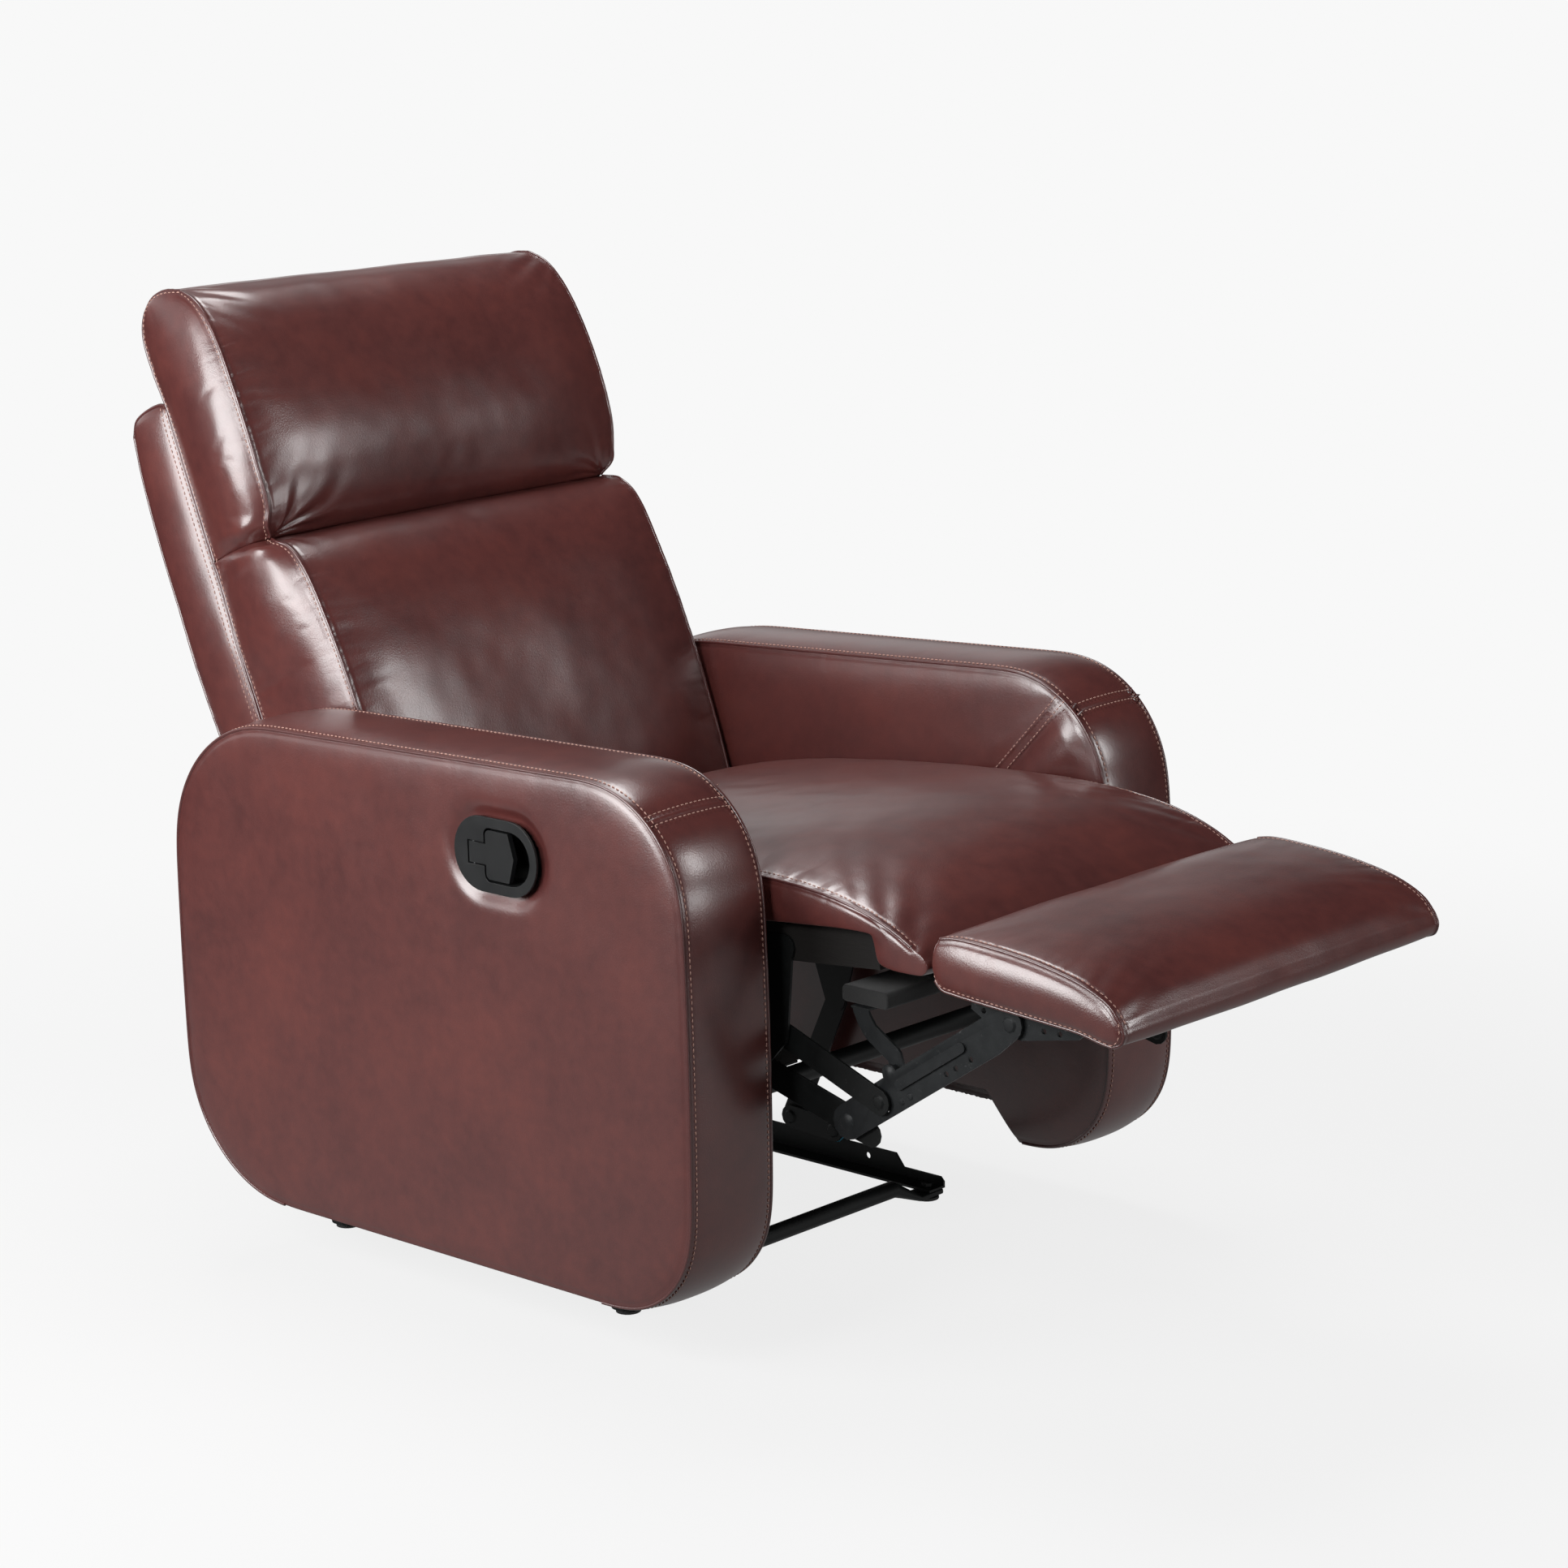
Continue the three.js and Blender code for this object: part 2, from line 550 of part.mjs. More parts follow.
for (const [name, side] of sides) {
  add(`base_rail_${name}`, baseRail(side), blackSteel);
  const discs = [[...tieEnd, 14], [...frontSwing.base, 14]];
  const tie = slab(withHoles(aroundDiscs(discs), [tieEnd, frontSwing.base].map(pinHole)), ...sided(2, side));
  add(`base_tie_${name}`, tie, blackSteel);
  const ring = withHoles(aroundDiscs([[...tieEnd, 15]]), [pinHole(tieEnd)]);
  const from = layer(2)[1] + seatGap;
  add(`tie_washer_${name}`, slab(ring, side * from, side * (from + washer)), blueNylon);
}
for (const [label, y] of [['front', tubePlaces[0]], ['rear', tubePlaces[1]]]) {
  add(`${label}_cross_tube`, crossTube(y), blackSteel);
  for (const [name, side] of sides) {
    const top = railLow - 2 * seatGap - tube.flatThick;
    add(`${label}_glide_${name}`, rodZ(side * boltX, y, floor, top, 14, 18), rubber);
  }
}

// ---------- swing links ----------
for (const [name, side] of sides) {
  for (const [label, swing, tops] of [['front', frontSwing, [frontSwing.top]], ['rear', rearSwing, []]]) {
    const shape = aroundDiscs([[...swing.base, 16], [...swing.top, 15]]);
    const [inner, outer] = sided(1, side);
    const bosses = [
      boss(swing.base, outer - side, side * (webInner - seatGap)),
      boss(swing.top, inner + side, side * (layer(2)[1] + seatGap)),
    ];
    const bores = [swing.base, ...tops].map((at) => pivotBore(at, side));
    const caps = tops.length ? [] : [dome(swing.top, outer, side)];
    add(`${label}_swing_link_${name}`, cut(join(slab(shape, inner, outer), ...bosses, ...caps), ...bores),
      blackSteel);
  }
}

// ---------- seat ----------
const seatFrame = new THREE.Group();
seatFrame.position.set(0, seat.frameFront, seat.frameUnder);
seatFrame.rotation.x = -rad(seat.tilt);
chair.add(seatFrame);
const seatRailOuter = layer(2)[0] - seatGap;
const seatDepth = seat.frameRear - seat.frameFront;

// Where the top or the underside of the tilted frame lies at a given Y.
const frameUnderAt = (y) => seat.frameUnder - (y - seat.frameFront) * Math.tan(rad(seat.tilt));
const frameTopAt = (y) => frameUnderAt(y) + seat.rail / Math.cos(rad(seat.tilt));

for (const [name, side] of sides) {
  add(`seat_side_rail_${name}`, box([side * (seatRailOuter - seat.board), side * seatRailOuter],
    [0, seatDepth], [0, seat.rail]), darkWood, seatFrame);
}
const railHalf = seatRailOuter - seat.board - seatGap;
add('seat_front_rail', box([-railHalf, railHalf], [0, seat.board], [0, seat.rail]), darkWood, seatFrame);
add('seat_rear_rail', box([-railHalf, railHalf], [seatDepth - seat.board, seatDepth], [0, seat.rail]),
  darkWood, seatFrame);

// Sinuous springs run from the front rail to the rear rail, tied across by straight wires.
const spring = { rows: [-150, -50, 50, 150], bends: 9, swing: 24, wire: 2, lead: 8, level: seat.rail - 9 };
function sinuousSpring(x) {
  const from = seat.board + seatGap;
  const to = seatDepth - seat.board - seatGap;
  const places = [new THREE.Vector3(x, from, spring.level), new THREE.Vector3(x, from + spring.lead, spring.level)];
  for (let i = 0; i < spring.bends; i += 1) {
    const y = from + ((to - from) * (i + 0.5)) / spring.bends;
    const dir = i % 2 ? 1 : -1;
    for (const turn of [-8, 8]) places.push(new THREE.Vector3(x + dir * spring.swing, y + turn, spring.level));
  }
  places.push(new THREE.Vector3(x, to - spring.lead, spring.level), new THREE.Vector3(x, to, spring.level));
  return wireAlong(new BentWire(places), spring.wire, places.length - 1);
}
const tieWires = [0.25, 0.5, 0.75].map((t) => rodX([seatDepth * t, spring.level],
  spring.rows[0] - spring.swing, spring.rows.at(-1) + spring.swing, spring.wire - 0.3, 6));
add('seat_springs', join(...spring.rows.map(sinuousSpring), ...tieWires), springSteel, seatFrame);
add('seat_dust_cloth', box([-railHalf, railHalf], [2, seatDepth - 2], [-seatGap - 1.5, -seatGap]),
  blackCloth, seatFrame);

function seatOutline() {
  const top = smooth(seat.top, 18).map(([y, z], i) => [y, z, Math.min(1, (18 - i) / 6)]);
  const sill = frameTopAt(seat.frameFront) + seatGap + 1;
  const [rear, rearLow, rearHigh] = seat.rear;
  return [
    ...top,
    ...seat.nose.map((p) => [...p, 0]), ...seat.lip.map(([y, z]) => [seat.frameFront + y, z, 0]),
    [seat.frameFront - 3.5, sill, 0],
    [rear - 4, frameTopAt(rear - 4) + seatGap, 0], [rear, rearLow, 0], [rear, rearHigh, 0],
  ];
}
add('seat_cushion', cushion(seatOutline(), seat.half, seat.crown), leather);

for (const [name, side] of sides) {
  const [a, b] = layer(2).map((x) => side * x);
  const along = (y, drop) => [y, frameUnderAt(y) + drop];
  const pieces = [
    aroundDiscs([[...along(-395, 14), 14], [...along(140, 6), 14]]),
    aroundDiscs([[...secondLink.pivot, 16], [...lowerLink.pivot, 18], [...torqueTube.at, 18],
      [...along(-250, 8), 20], [...along(-388, 8), 18]]),
    aroundDiscs([[...frontSwing.top, 16], [...along(-60, 6), 20], [...along(60, 6), 20]]),
    aroundDiscs([[...rearSwing.top, 16], [...along(60, 6), 20], [...along(140, 0), 18]]),
    aroundDiscs([[...along(120, 4), 15], [...backPivot, 14]]),
  ].map((shape) => slab(shape, a, b));
  const holes = [[-180, 300], [-60, 300]].map((at) => rodX(at, ...allLayers(side), 7));
  const boltHeads = [-350, -150, 60].map((y) => dome(along(y, 20), b, side, 7, 1.6));
  const lowBush = side * (layer(5)[1] + seatGap);
  const secondBush = side * (layer(3)[1] + seatGap);
  const pivots = [
    boss(lowerLink.pivot, a + side, lowBush, 9),
    pin(lowerLink.pivot, lowBush, side * layer(5)[0], -side),
    boss(secondLink.pivot, a + side, secondBush, 11),
    pin(secondLink.pivot, secondBush, side * layer(3)[0], -side),
    pin(frontSwing.top, b, side * layer(1)[1], side),
    pin(backPivot, b, side * layer(1)[1], side),
  ];
  add(`side_plate_${name}`, cut(join(...pieces, ...boltHeads, ...pivots), ...holes), blackSteel);
}
const torqueHalf = layer(2)[0] - seatGap;
add('torque_tube', rodX(torqueTube.at, -torqueHalf, torqueHalf, torqueTube.radius, 20), blackSteel);

// ---------- footrest linkage ----------
const toward = (from, to) => {
  const v = new THREE.Vector2(to[0] - from[0], to[1] - from[1]);
  return v.normalize();
};
const channelDir = toward(lowerLink.knee, footPivot);
const channelUp = new THREE.Vector2(channelDir.y, -channelDir.x);
const onChannel = (u, v) => [
  lowerLink.knee[0] + u * channelDir.x + v * channelUp.x,
  lowerLink.knee[1] + u * channelDir.y + v * channelUp.y,
];
const channelLength = Math.hypot(footPivot[0] - lowerLink.knee[0], footPivot[1] - lowerLink.knee[1]);
const stopRivet = [lowerLink.knee[0] - 27, lowerLink.knee[1] - 9];

for (const [name, side] of sides) {
  const lowShape = withHoles(aroundDiscs([[...lowerLink.pivot, lowerLink.radius],
    [...lowerLink.knee, lowerLink.radius + 1], [...stopRivet, lowerLink.radius - 2]]),
    [lowerLink.pivot, lowerLink.knee].map(pinHole));
  add(`lower_link_${name}`, join(slab(lowShape, ...sided(5, side)), dome(stopRivet, side * layer(5)[0], -side)),
    blackSteel);

  const secondShape = withHoles(aroundDiscs([[...secondLink.pivot, secondLink.radius],
    [...secondLink.knee, secondLink.radius]]),
    [pinHole(secondLink.pivot)]);
  const [secondIn, secondOut] = sided(3, side);
  add(`second_link_${name}`, join(slab(secondShape, secondIn, secondOut), dome(secondLink.knee, secondOut, side, 8),
    boss(secondLink.knee, secondIn + side, side * (layer(4)[1] + seatGap), 10)), blackSteel);

  const [inner, outer] = sided(4, side);
  const half = channel.width / 2;
  const body = slab(withHoles(aroundDiscs([
    [...lowerLink.knee, half - 1], [...onChannel(40, 0), half], [...onChannel(channelLength - 30, 0), half],
    [...footPivot, half - 4],
  ]), [60, 157, 172, 196].map((u) => [...onChannel(u, 10 - half), 3.2])), inner, outer);
  const ear = slab(aroundDiscs([[...flipper.pivot, 10], [...onChannel(82, 2), 12]]), inner, outer);
  const bead = slab(aroundDiscs([[...onChannel(92, 5), channel.beadWidth / 2],
    [...onChannel(192, 5), channel.beadWidth / 2]]), outer - side, outer + side * channel.bead);
  const flipperBush = side * (layer(6)[1] + seatGap);
  const pivots = [
    dome(lowerLink.knee, outer, side, 10), dome(footPivot, outer, side), dome(flipper.pivot, outer, side, 7, 1.5),
    pin(lowerLink.knee, inner, side * layer(5)[0], -side),
    pin(footPivot, inner, side * layer(5)[0], -side),
    boss(flipper.pivot, inner + side, flipperBush, 8),
    pin(flipper.pivot, flipperBush, side * layer(6)[0], -side, 7),
    ...[84, 98].map((u) => dome(onChannel(u, 9 - half), outer, side, 4, 1.5)),
  ];
  add(`channel_link_${name}`, join(body, ear, bead, ...pivots), greySteel);

  const ring = withHoles(aroundDiscs([[...lowerLink.knee, 19]]), [pinHole(lowerLink.knee)]);
  const from = layer(5)[1] + seatGap;
  add(`knee_washer_${name}`, slab(ring, side * from, side * (from + washer)), blueNylon);
}

// ---------- flipper board on its bent brackets ----------
const flipperMiddle = (flipper.front + flipper.rear) / 2;
for (const [name, side] of sides) {
  const [inner, outer] = layer(6).map((x) => side * x);
  const under = flipper.under - seatGap;
  const spine = smooth([flipper.pivot, [flipper.pivot[0] + 2, flipper.pivot[1] + 16],
    [flipper.pivot[0] + 34, flipper.pivot[1] + 36], [flipperMiddle + 2, under - 2]], 6);
  const arms = spine.slice(1).map((p, i) => slab(aroundDiscs([[...spine[i], 10], [...p, 10]], 12), inner, outer));
  const level = box(allLayers(side), [flipper.front - 60, flipper.rear + 60], [under, under + 60]);
  const flange = box([inner - side * flipper.flangeReach, outer],
    [flipperMiddle - 10, flipperMiddle + 14], [under - 2.5, under]);
  const strip = cut(join(...arms), level, pivotBore(flipper.pivot, side));
  add(`flipper_bracket_${name}`, join(strip, flange), greySteel);
}
add('flipper_board', slab(aroundDiscs([
  [flipper.front + flipper.edge, flipper.under + flipper.edge, flipper.edge],
  [flipper.front + flipper.edge, flipper.under + flipper.thick - flipper.edge, flipper.edge],
  [flipper.rear - flipper.edge, flipper.under + flipper.edge, flipper.edge],
  [flipper.rear - flipper.edge, flipper.under + flipper.thick - flipper.edge, flipper.edge],
]), -flipper.half, flipper.half), blackCloth);

// ---------- footrest ----------
const footGroup = new THREE.Group();
footGroup.position.set(0, ...footPivot);
footGroup.rotation.x = rad(footrest.tilt);
chair.add(footGroup);

const padOutline = [
  ...smooth(footrest.top, 12).map(([y, z], i) => [y, z, Math.min(1, (i + 1) / 3, (12 - i) / 5)]),
  ...footrest.under.map((p) => [...p, 0]),
];
const { boardSpan } = footrest;
const boardLow = footrest.foot + 3.4;
const boardHalf = footrest.half - footrest.boardInset;
const pad = cushion(padOutline, footrest.half, footrest.crown);
const pocket = box([-boardHalf - seatGap, boardHalf + seatGap],
  [boardSpan[0] - seatGap, boardSpan[1] + seatGap], [0, boardLow + footrest.board + seatGap]);
add('footrest_pad', cut(pad, pocket), leather, footGroup);
add('footrest_board', box([-boardHalf, boardHalf], boardSpan, [boardLow, boardLow + footrest.board]),
  wood, footGroup);
for (const [name, side] of sides) {
  const [inner, outer] = layer(5).map((x) => side * x);
  const top = boardLow - seatGap;
  const web = slab(withHoles(outlineShape([[54, top], [54, 2], [20, -13], [-12, -15], [-84, top - 16],
    [-92, top - 8], [-92, top]].reverse()), [[-40, 2, 3.2], [-60, 4, 3.2], [38, 4, 3.2]]), inner, outer);
  const collar = boss([0, 0], outer - side, side * (layer(4)[0] - seatGap), 9);
  const flange = box([inner - side * 28, inner + side], [-92, 54], [top - plate, top]);
  const heads = [[-70], [-20], [34]].map(([y]) => rodZ(inner - side * 15, y, top - plate - 2, top - 1, 5, 10));
  add(`footrest_bracket_${name}`, cut(join(web, flange, collar, ...heads), pivotBore([0, 0], side)),
    greySteel, footGroup);
}

// ---------- back ----------
const backGroup = new THREE.Group();
backGroup.position.set(0, ...back.origin);
backGroup.rotation.x = -rad(back.tilt);
chair.add(backGroup);
// Inside this group Y is depth behind the sitter and Z runs up the back.
function backOutline(front, steps, rise, rest) {
  return [
    ...smooth(front, steps).map(([y, z], i) => [y, z, Math.min(1, i / 3, (steps - i) / rise)]),
    ...rest.map((p) => [...p, 0]),
  ];
}
add('headrest_cushion', cushion(backOutline(back.head, 16, 4, back.headRear), back.half, back.crown, [-1, 0]),
  leather, backGroup);
add('lumbar_cushion', cushion(backOutline(back.lumbar, 14, 3, back.lumbarRear), back.half, back.crown, [-1, 0]),
  leather, backGroup);

function backShell() {
  const front = back.rim + seatGap;
  const [low, drop, high] = shell.frontCorner;
  const outline = [
    [front, shell.foot], [low, shell.foot], ...smooth(shell.rear, 10), ...shell.crest,
    [high, shell.top], [front, shell.top - drop],
  ].map(([y, z]) => [y, z, 0]);
  const hollow = box([-(back.half - shell.wall), back.half - shell.wall],
    [0, shell.hollow], [shell.foot - shell.wall, shell.top - shell.lid]);
  return cut(cushion(outline, back.half, 0, [0, 1], 5), hollow);
}
add('back_shell', backShell(), leather, backGroup);

const frameHalf = layer(1)[0] - seatGap;
const frameFront = back.rim + backWood.play;
function backFrame() {
  const upright = sides.map(([, side]) => box([side * (frameHalf - backWood.post), side * frameHalf],
    [frameFront, backWood.rear], [backWood.foot, backWood.top]));
  const cross = backWood.cross.map((z) => box([-frameHalf + 2, frameHalf - 2],
    [frameFront + 1, backWood.crossRear], z));
  return join(...upright, ...cross);
}
add('back_frame', backFrame(), wood, backGroup);
const strapY = [frameFront - seatGap - strap.thick, frameFront - seatGap];
const level = (z) => box([-frameHalf + 4, frameHalf - 4], strapY, [z - strap.half, z + strap.half]);
const upright = (x) => box([x - strap.half, x + strap.half], strapY, [strap.from, strap.to]);
add('back_webbing', join(...strap.levels.map(level), ...strap.uprights.map(upright)), webbing, backGroup);

// The back hinge lies at backPivot, brought into the back's own tilted frame.
const hinge = new THREE.Vector2(backPivot[0] - back.origin[0], backPivot[1] - back.origin[1])
  .rotateAround(new THREE.Vector2(), rad(back.tilt));
for (const [name, side] of sides) {
  const [a, b] = layer(1).map((x) => side * x);
  const foot = slab(aroundDiscs([[hinge.x, hinge.y, 14], [176, 8, 14]]), a, b);
  const post = slab(aroundDiscs([[180, 8, 16], [184, 150, 14]]), a, b);
  const at = [hinge.x, hinge.y];
  const heads = [60, 130].map((z) => dome([183, z], b, side, 6, 1.5));
  const collar = boss(at, a + side, side * (layer(2)[1] + seatGap), 10);
  add(`back_bracket_${name}`, cut(join(foot, post, collar, ...heads), pivotBore(at, side)), blackSteel, backGroup);
}

// ---------- stand the chair on the floor, centred over the origin ----------
chair.updateMatrixWorld(true);
const bounds = new THREE.Box3().setFromObject(chair, true);
chair.position.set(0, -(bounds.min.y + bounds.max.y) / 2, armLift);
chair.updateMatrixWorld(true);

export default chair;
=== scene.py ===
# Recliner armchair in burgundy leather, footrest out. Metres, +Z up, the sitter faces -Y.
import json
import math

import bmesh
import bpy
import numpy as np
from mathutils import Matrix, Vector, kdtree, noise
from mathutils.bvhtree import BVHTree

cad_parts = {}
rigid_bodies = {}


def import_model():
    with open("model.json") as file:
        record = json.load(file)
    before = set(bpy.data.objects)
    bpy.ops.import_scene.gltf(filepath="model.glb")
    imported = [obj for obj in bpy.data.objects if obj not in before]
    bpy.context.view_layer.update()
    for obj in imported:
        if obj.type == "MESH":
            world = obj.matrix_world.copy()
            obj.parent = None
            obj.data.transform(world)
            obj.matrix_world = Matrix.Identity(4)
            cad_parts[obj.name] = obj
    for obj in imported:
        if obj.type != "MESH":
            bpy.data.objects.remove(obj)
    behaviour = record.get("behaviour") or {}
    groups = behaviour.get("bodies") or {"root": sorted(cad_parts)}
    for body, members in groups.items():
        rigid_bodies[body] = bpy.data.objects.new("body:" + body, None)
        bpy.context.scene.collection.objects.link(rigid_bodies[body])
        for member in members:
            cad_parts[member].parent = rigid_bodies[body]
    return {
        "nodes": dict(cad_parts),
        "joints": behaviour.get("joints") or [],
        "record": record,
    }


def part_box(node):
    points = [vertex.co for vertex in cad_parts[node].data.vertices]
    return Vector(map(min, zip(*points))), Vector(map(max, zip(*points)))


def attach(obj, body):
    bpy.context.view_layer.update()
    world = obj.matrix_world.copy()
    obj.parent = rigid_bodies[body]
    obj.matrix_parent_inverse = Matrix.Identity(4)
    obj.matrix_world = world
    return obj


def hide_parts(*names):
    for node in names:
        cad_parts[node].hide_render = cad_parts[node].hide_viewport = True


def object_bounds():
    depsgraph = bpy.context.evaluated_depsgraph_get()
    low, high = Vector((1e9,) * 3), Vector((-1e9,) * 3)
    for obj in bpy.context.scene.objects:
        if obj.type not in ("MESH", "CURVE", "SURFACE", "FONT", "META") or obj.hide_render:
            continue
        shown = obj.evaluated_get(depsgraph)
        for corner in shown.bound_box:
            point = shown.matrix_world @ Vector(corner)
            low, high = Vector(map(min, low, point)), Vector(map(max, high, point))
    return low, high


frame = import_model()
nodes = frame["nodes"]
scene = bpy.context.scene
cadBounds = [list(corner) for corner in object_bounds()]
mm = 0.001
print("frame loaded:", len(nodes), "nodes")

bodies = frame["record"]["behaviour"]["bodies"]
bodyOf = {node: body for body, members in bodies.items() for node in members}
jointAt = {joint["name"]: Vector(joint["pos_m"]) for joint in frame["joints"]}
sides = {"right": -1, "left": 1}


camera = {
    "place": (-3.463, -3.32695, 1.669), "yaw": 46.47, "pitch": 13.25, "roll": -1.55,
    "lens": 103.04, "sensor": 36, "farthest": 60,
}


def addCamera():
    yaw, pitch, roll = (math.radians(camera[k]) for k in ("yaw", "pitch", "roll"))
    forward = Vector((math.sin(yaw) * math.cos(pitch), math.cos(yaw) * math.cos(pitch), -math.sin(pitch)))
    right = Vector((math.cos(yaw), -math.sin(yaw), 0))
    up = right.cross(forward)
    rightRolled = right * math.cos(roll) + up * math.sin(roll)
    upRolled = up * math.cos(roll) - right * math.sin(roll)
    data = bpy.data.cameras.new("camera")
    data.lens, data.sensor_width, data.clip_end = camera["lens"], camera["sensor"], camera["farthest"]
    obj = bpy.data.objects.new("camera", data)
    scene.collection.objects.link(obj)
    turn = Matrix((rightRolled, upRolled, -forward)).transposed().to_4x4()
    obj.matrix_world = Matrix.Translation(camera["place"]) @ turn
    scene.camera = obj


addCamera()


class Wire:
    # one output socket, or a plain number, that Python operators can work on
    def __init__(self, shader, socket):
        self.shader, self.socket = shader, socket

    def to(self, operation, *others):
        return self.shader.maths(operation, self, *others)

    def __add__(self, other):
        return self.to("ADD", other)

    def __mul__(self, other):
        return self.to("MULTIPLY", other)

    def __rsub__(self, other):
        return self.shader.maths("SUBTRACT", other, self)

    __radd__ = __add__
    __rmul__ = __mul__


class Shader:
    # the node tree of a new material, or of the world when that is given
    def __init__(self, name, world=None):
        self.owner = world or bpy.data.materials.new(name)
        self.owner.use_nodes = True
        self.nodes = self.owner.node_tree.nodes
        self.links = self.owner.node_tree.links
        self.coords = self.add("TexCoord", {}, {}, "Generated" if world else "Object")

    def feed(self, socket, value):
        if isinstance(value, Wire):
            self.links.new(value.socket, socket)
        else:
            socket.default_value = value

    # any node: its type, its settings, the values or links of its inputs, and the output wanted
    def add(self, kind, settings, inputs, output=0):
        node = self.nodes.new("ShaderNode" + kind)
        for key, value in settings.items():
            if key == "stops":
                ramp = node.color_ramp
                while len(ramp.elements) < len(value):
                    ramp.elements.new(0.5)
                for element, (place, colour) in zip(ramp.elements, value):
                    element.position, element.color = place, colour
            else:
                setattr(node, key, value)
        for key, value in inputs.items():
            self.feed(node.inputs[key], value)
        return Wire(self, node.outputs[output])

    def maths(self, operation, *values):
        return self.add("Math", {"operation": operation}, dict(enumerate(values)))

    def clamp(self, value):
        return self.add("Clamp", {}, {"Value": value})

    def noise(self, scale, detail=2.0, roughness=0.5, coords=None):
        inputs = {"Vector": coords or self.coords, "Scale": scale, "Detail": detail, "Roughness": roughness}
        return self.add("TexNoise", {}, inputs, "Fac")

    def ramp(self, value, *stops):
        return self.add("ValToRGB", {"stops": stops}, {"Fac": value}, "Color")

    # a value between two limits, as a share from one number to another
    def level(self, value, limits, ends=(0.0, 1.0), smooth=False):
        settings = {"interpolation_type": "SMOOTHSTEP"} if smooth else {}
        inputs = {"Value": value, "From Min": limits[0], "From Max": limits[1],
                  "To Min": ends[0], "To Max": ends[1]}
        return self.add("MapRange", settings, inputs, "Result")

    def mix(self, share, first, second):
        return self.add("Mix", {"data_type": "RGBA"}, {0: share, 6: first, 7: second}, 2)

    def ray(self, kind):
        return self.add("LightPath", {}, {}, f"Is {kind} Ray")

    def attribute(self, name):
        return self.add("Attribute", {"attribute_name": name}, {}, "Fac")

    def bump(self, height, distance, strength):
        return self.add("Bump", {}, {"Height": height, "Distance": distance, "Strength": strength}, "Normal")

    def set(self, **sockets):
        names = {"colour": "Base Color", "roughness": "Roughness", "metallic": "Metallic", "normal": "Normal",
                 "coat": "Coat Weight", "coatRoughness": "Coat Roughness", "specular": "Specular IOR Level",
                 "sheen": "Sheen Weight"}
        for key, value in sockets.items():
            self.feed(self.nodes["Principled BSDF"].inputs[names[key]], value)
        return self.owner


def rgb(r, g, b):
    return (r, g, b, 1.0)


def grey(value):
    return rgb(value, value, value)


leather = {
    "deep": rgb(0.054, 0.0138, 0.0138), "body": rgb(0.093, 0.0235, 0.0210),
    "warm": rgb(0.134, 0.0325, 0.0262), "mottle": 9.0, "cloud": 60.0, "grain": 620.0, "crease": 230.0,
    "grainDepth": 0.00009, "roughness": 0.276,
}


def leatherMaterial():
    s = Shader("leather")
    cloud = s.noise(leather["mottle"], 5.0, 0.62)
    fleck = s.noise(leather["cloud"], 4.0, 0.6)
    tone = cloud * 0.62 + fleck * 0.38
    colour = s.ramp(tone, (0.22, leather["deep"]), (0.50, leather["body"]), (0.80, leather["warm"]))
    seam = s.attribute("seam")
    # painted shade: close to every seam the leather colour is pulled towards the deep tone, standing in for
    # the shade in the seam groove
    seamShade = s.maths("EXPONENT", seam * -0.22)
    colour = s.mix(seamShade * 0.45, colour, leather["deep"])
    cells = s.add("TexVoronoi", {}, {"Vector": s.coords, "Scale": leather["grain"]}, "Distance")
    creases = s.noise(leather["crease"], 2.0, 0.5)
    height = cells * 0.5 + creases * 0.35
    normal = s.bump(height, leather["grainDepth"] * 3.0, 0.5)
    sheen = s.noise(34.0, 3.0, 0.6)
    roughness = sheen * 0.03 + fleck * 0.02 + leather["roughness"]
    return s.set(colour=colour, roughness=roughness, normal=normal, coat=0.15, coatRoughness=0.16,
                 specular=0.9)


def threadMaterial():
    s = Shader("thread")
    twist = s.noise(900.0, 2.0)
    colour = s.mix(twist, rgb(0.26, 0.12, 0.095), rgb(0.56, 0.35, 0.29))
    return s.set(colour=colour, roughness=0.55, normal=s.bump(twist, 0.0002, 0.6))


def paintedSteelMaterial(name, dark, light, wear, roughness, metallic):
    s = Shader(name)
    cloud = s.noise(60.0, 4.0, 0.6)
    fine = s.noise(700.0, 3.0, 0.6)
    scuff = s.level(s.noise(190.0, 6.0, 0.7), (0.62, 0.74))
    colour = s.mix(cloud, dark, light)
    colour = s.mix(scuff * wear, colour, grey(0.24))
    return s.set(colour=colour, roughness=cloud * 0.18 + fine * 0.08 + (roughness - 0.13),
                 metallic=scuff * wear * 0.7 + metallic, specular=0.25,
                 normal=s.bump(fine, 0.0002, 0.35))


def bareSteelMaterial():
    s = Shader("springWire")
    drawn = s.noise(420.0, 4.0, 0.6)
    colour = s.mix(drawn, rgb(0.20, 0.20, 0.21), rgb(0.36, 0.36, 0.37))
    return s.set(colour=colour, roughness=drawn * 0.2 + 0.28, metallic=0.9, normal=s.bump(drawn, 0.0002, 0.3))


def mouldedPlasticMaterial(name, colour, roughness, grain):
    s = Shader(name)
    spark = s.add("TexVoronoi", {}, {"Vector": s.coords, "Scale": grain}, "Distance")
    drift = s.noise(40.0, 3.0)
    shade = s.mix(drift, rgb(*(c * 0.8 for c in colour)), rgb(*(c * 1.2 for c in colour)))
    return s.set(colour=shade, roughness=drift * 0.14 + (roughness - 0.07), specular=0.35,
                 normal=s.bump(spark, 0.0001, 0.5))


def rubberMaterial():
    s = Shader("glideRubber")
    drift = s.noise(120.0, 4.0)
    colour = s.mix(drift, grey(0.012), grey(0.03))
    return s.set(colour=colour, roughness=drift * 0.2 + 0.65, normal=s.bump(drift, 0.0003, 0.4))


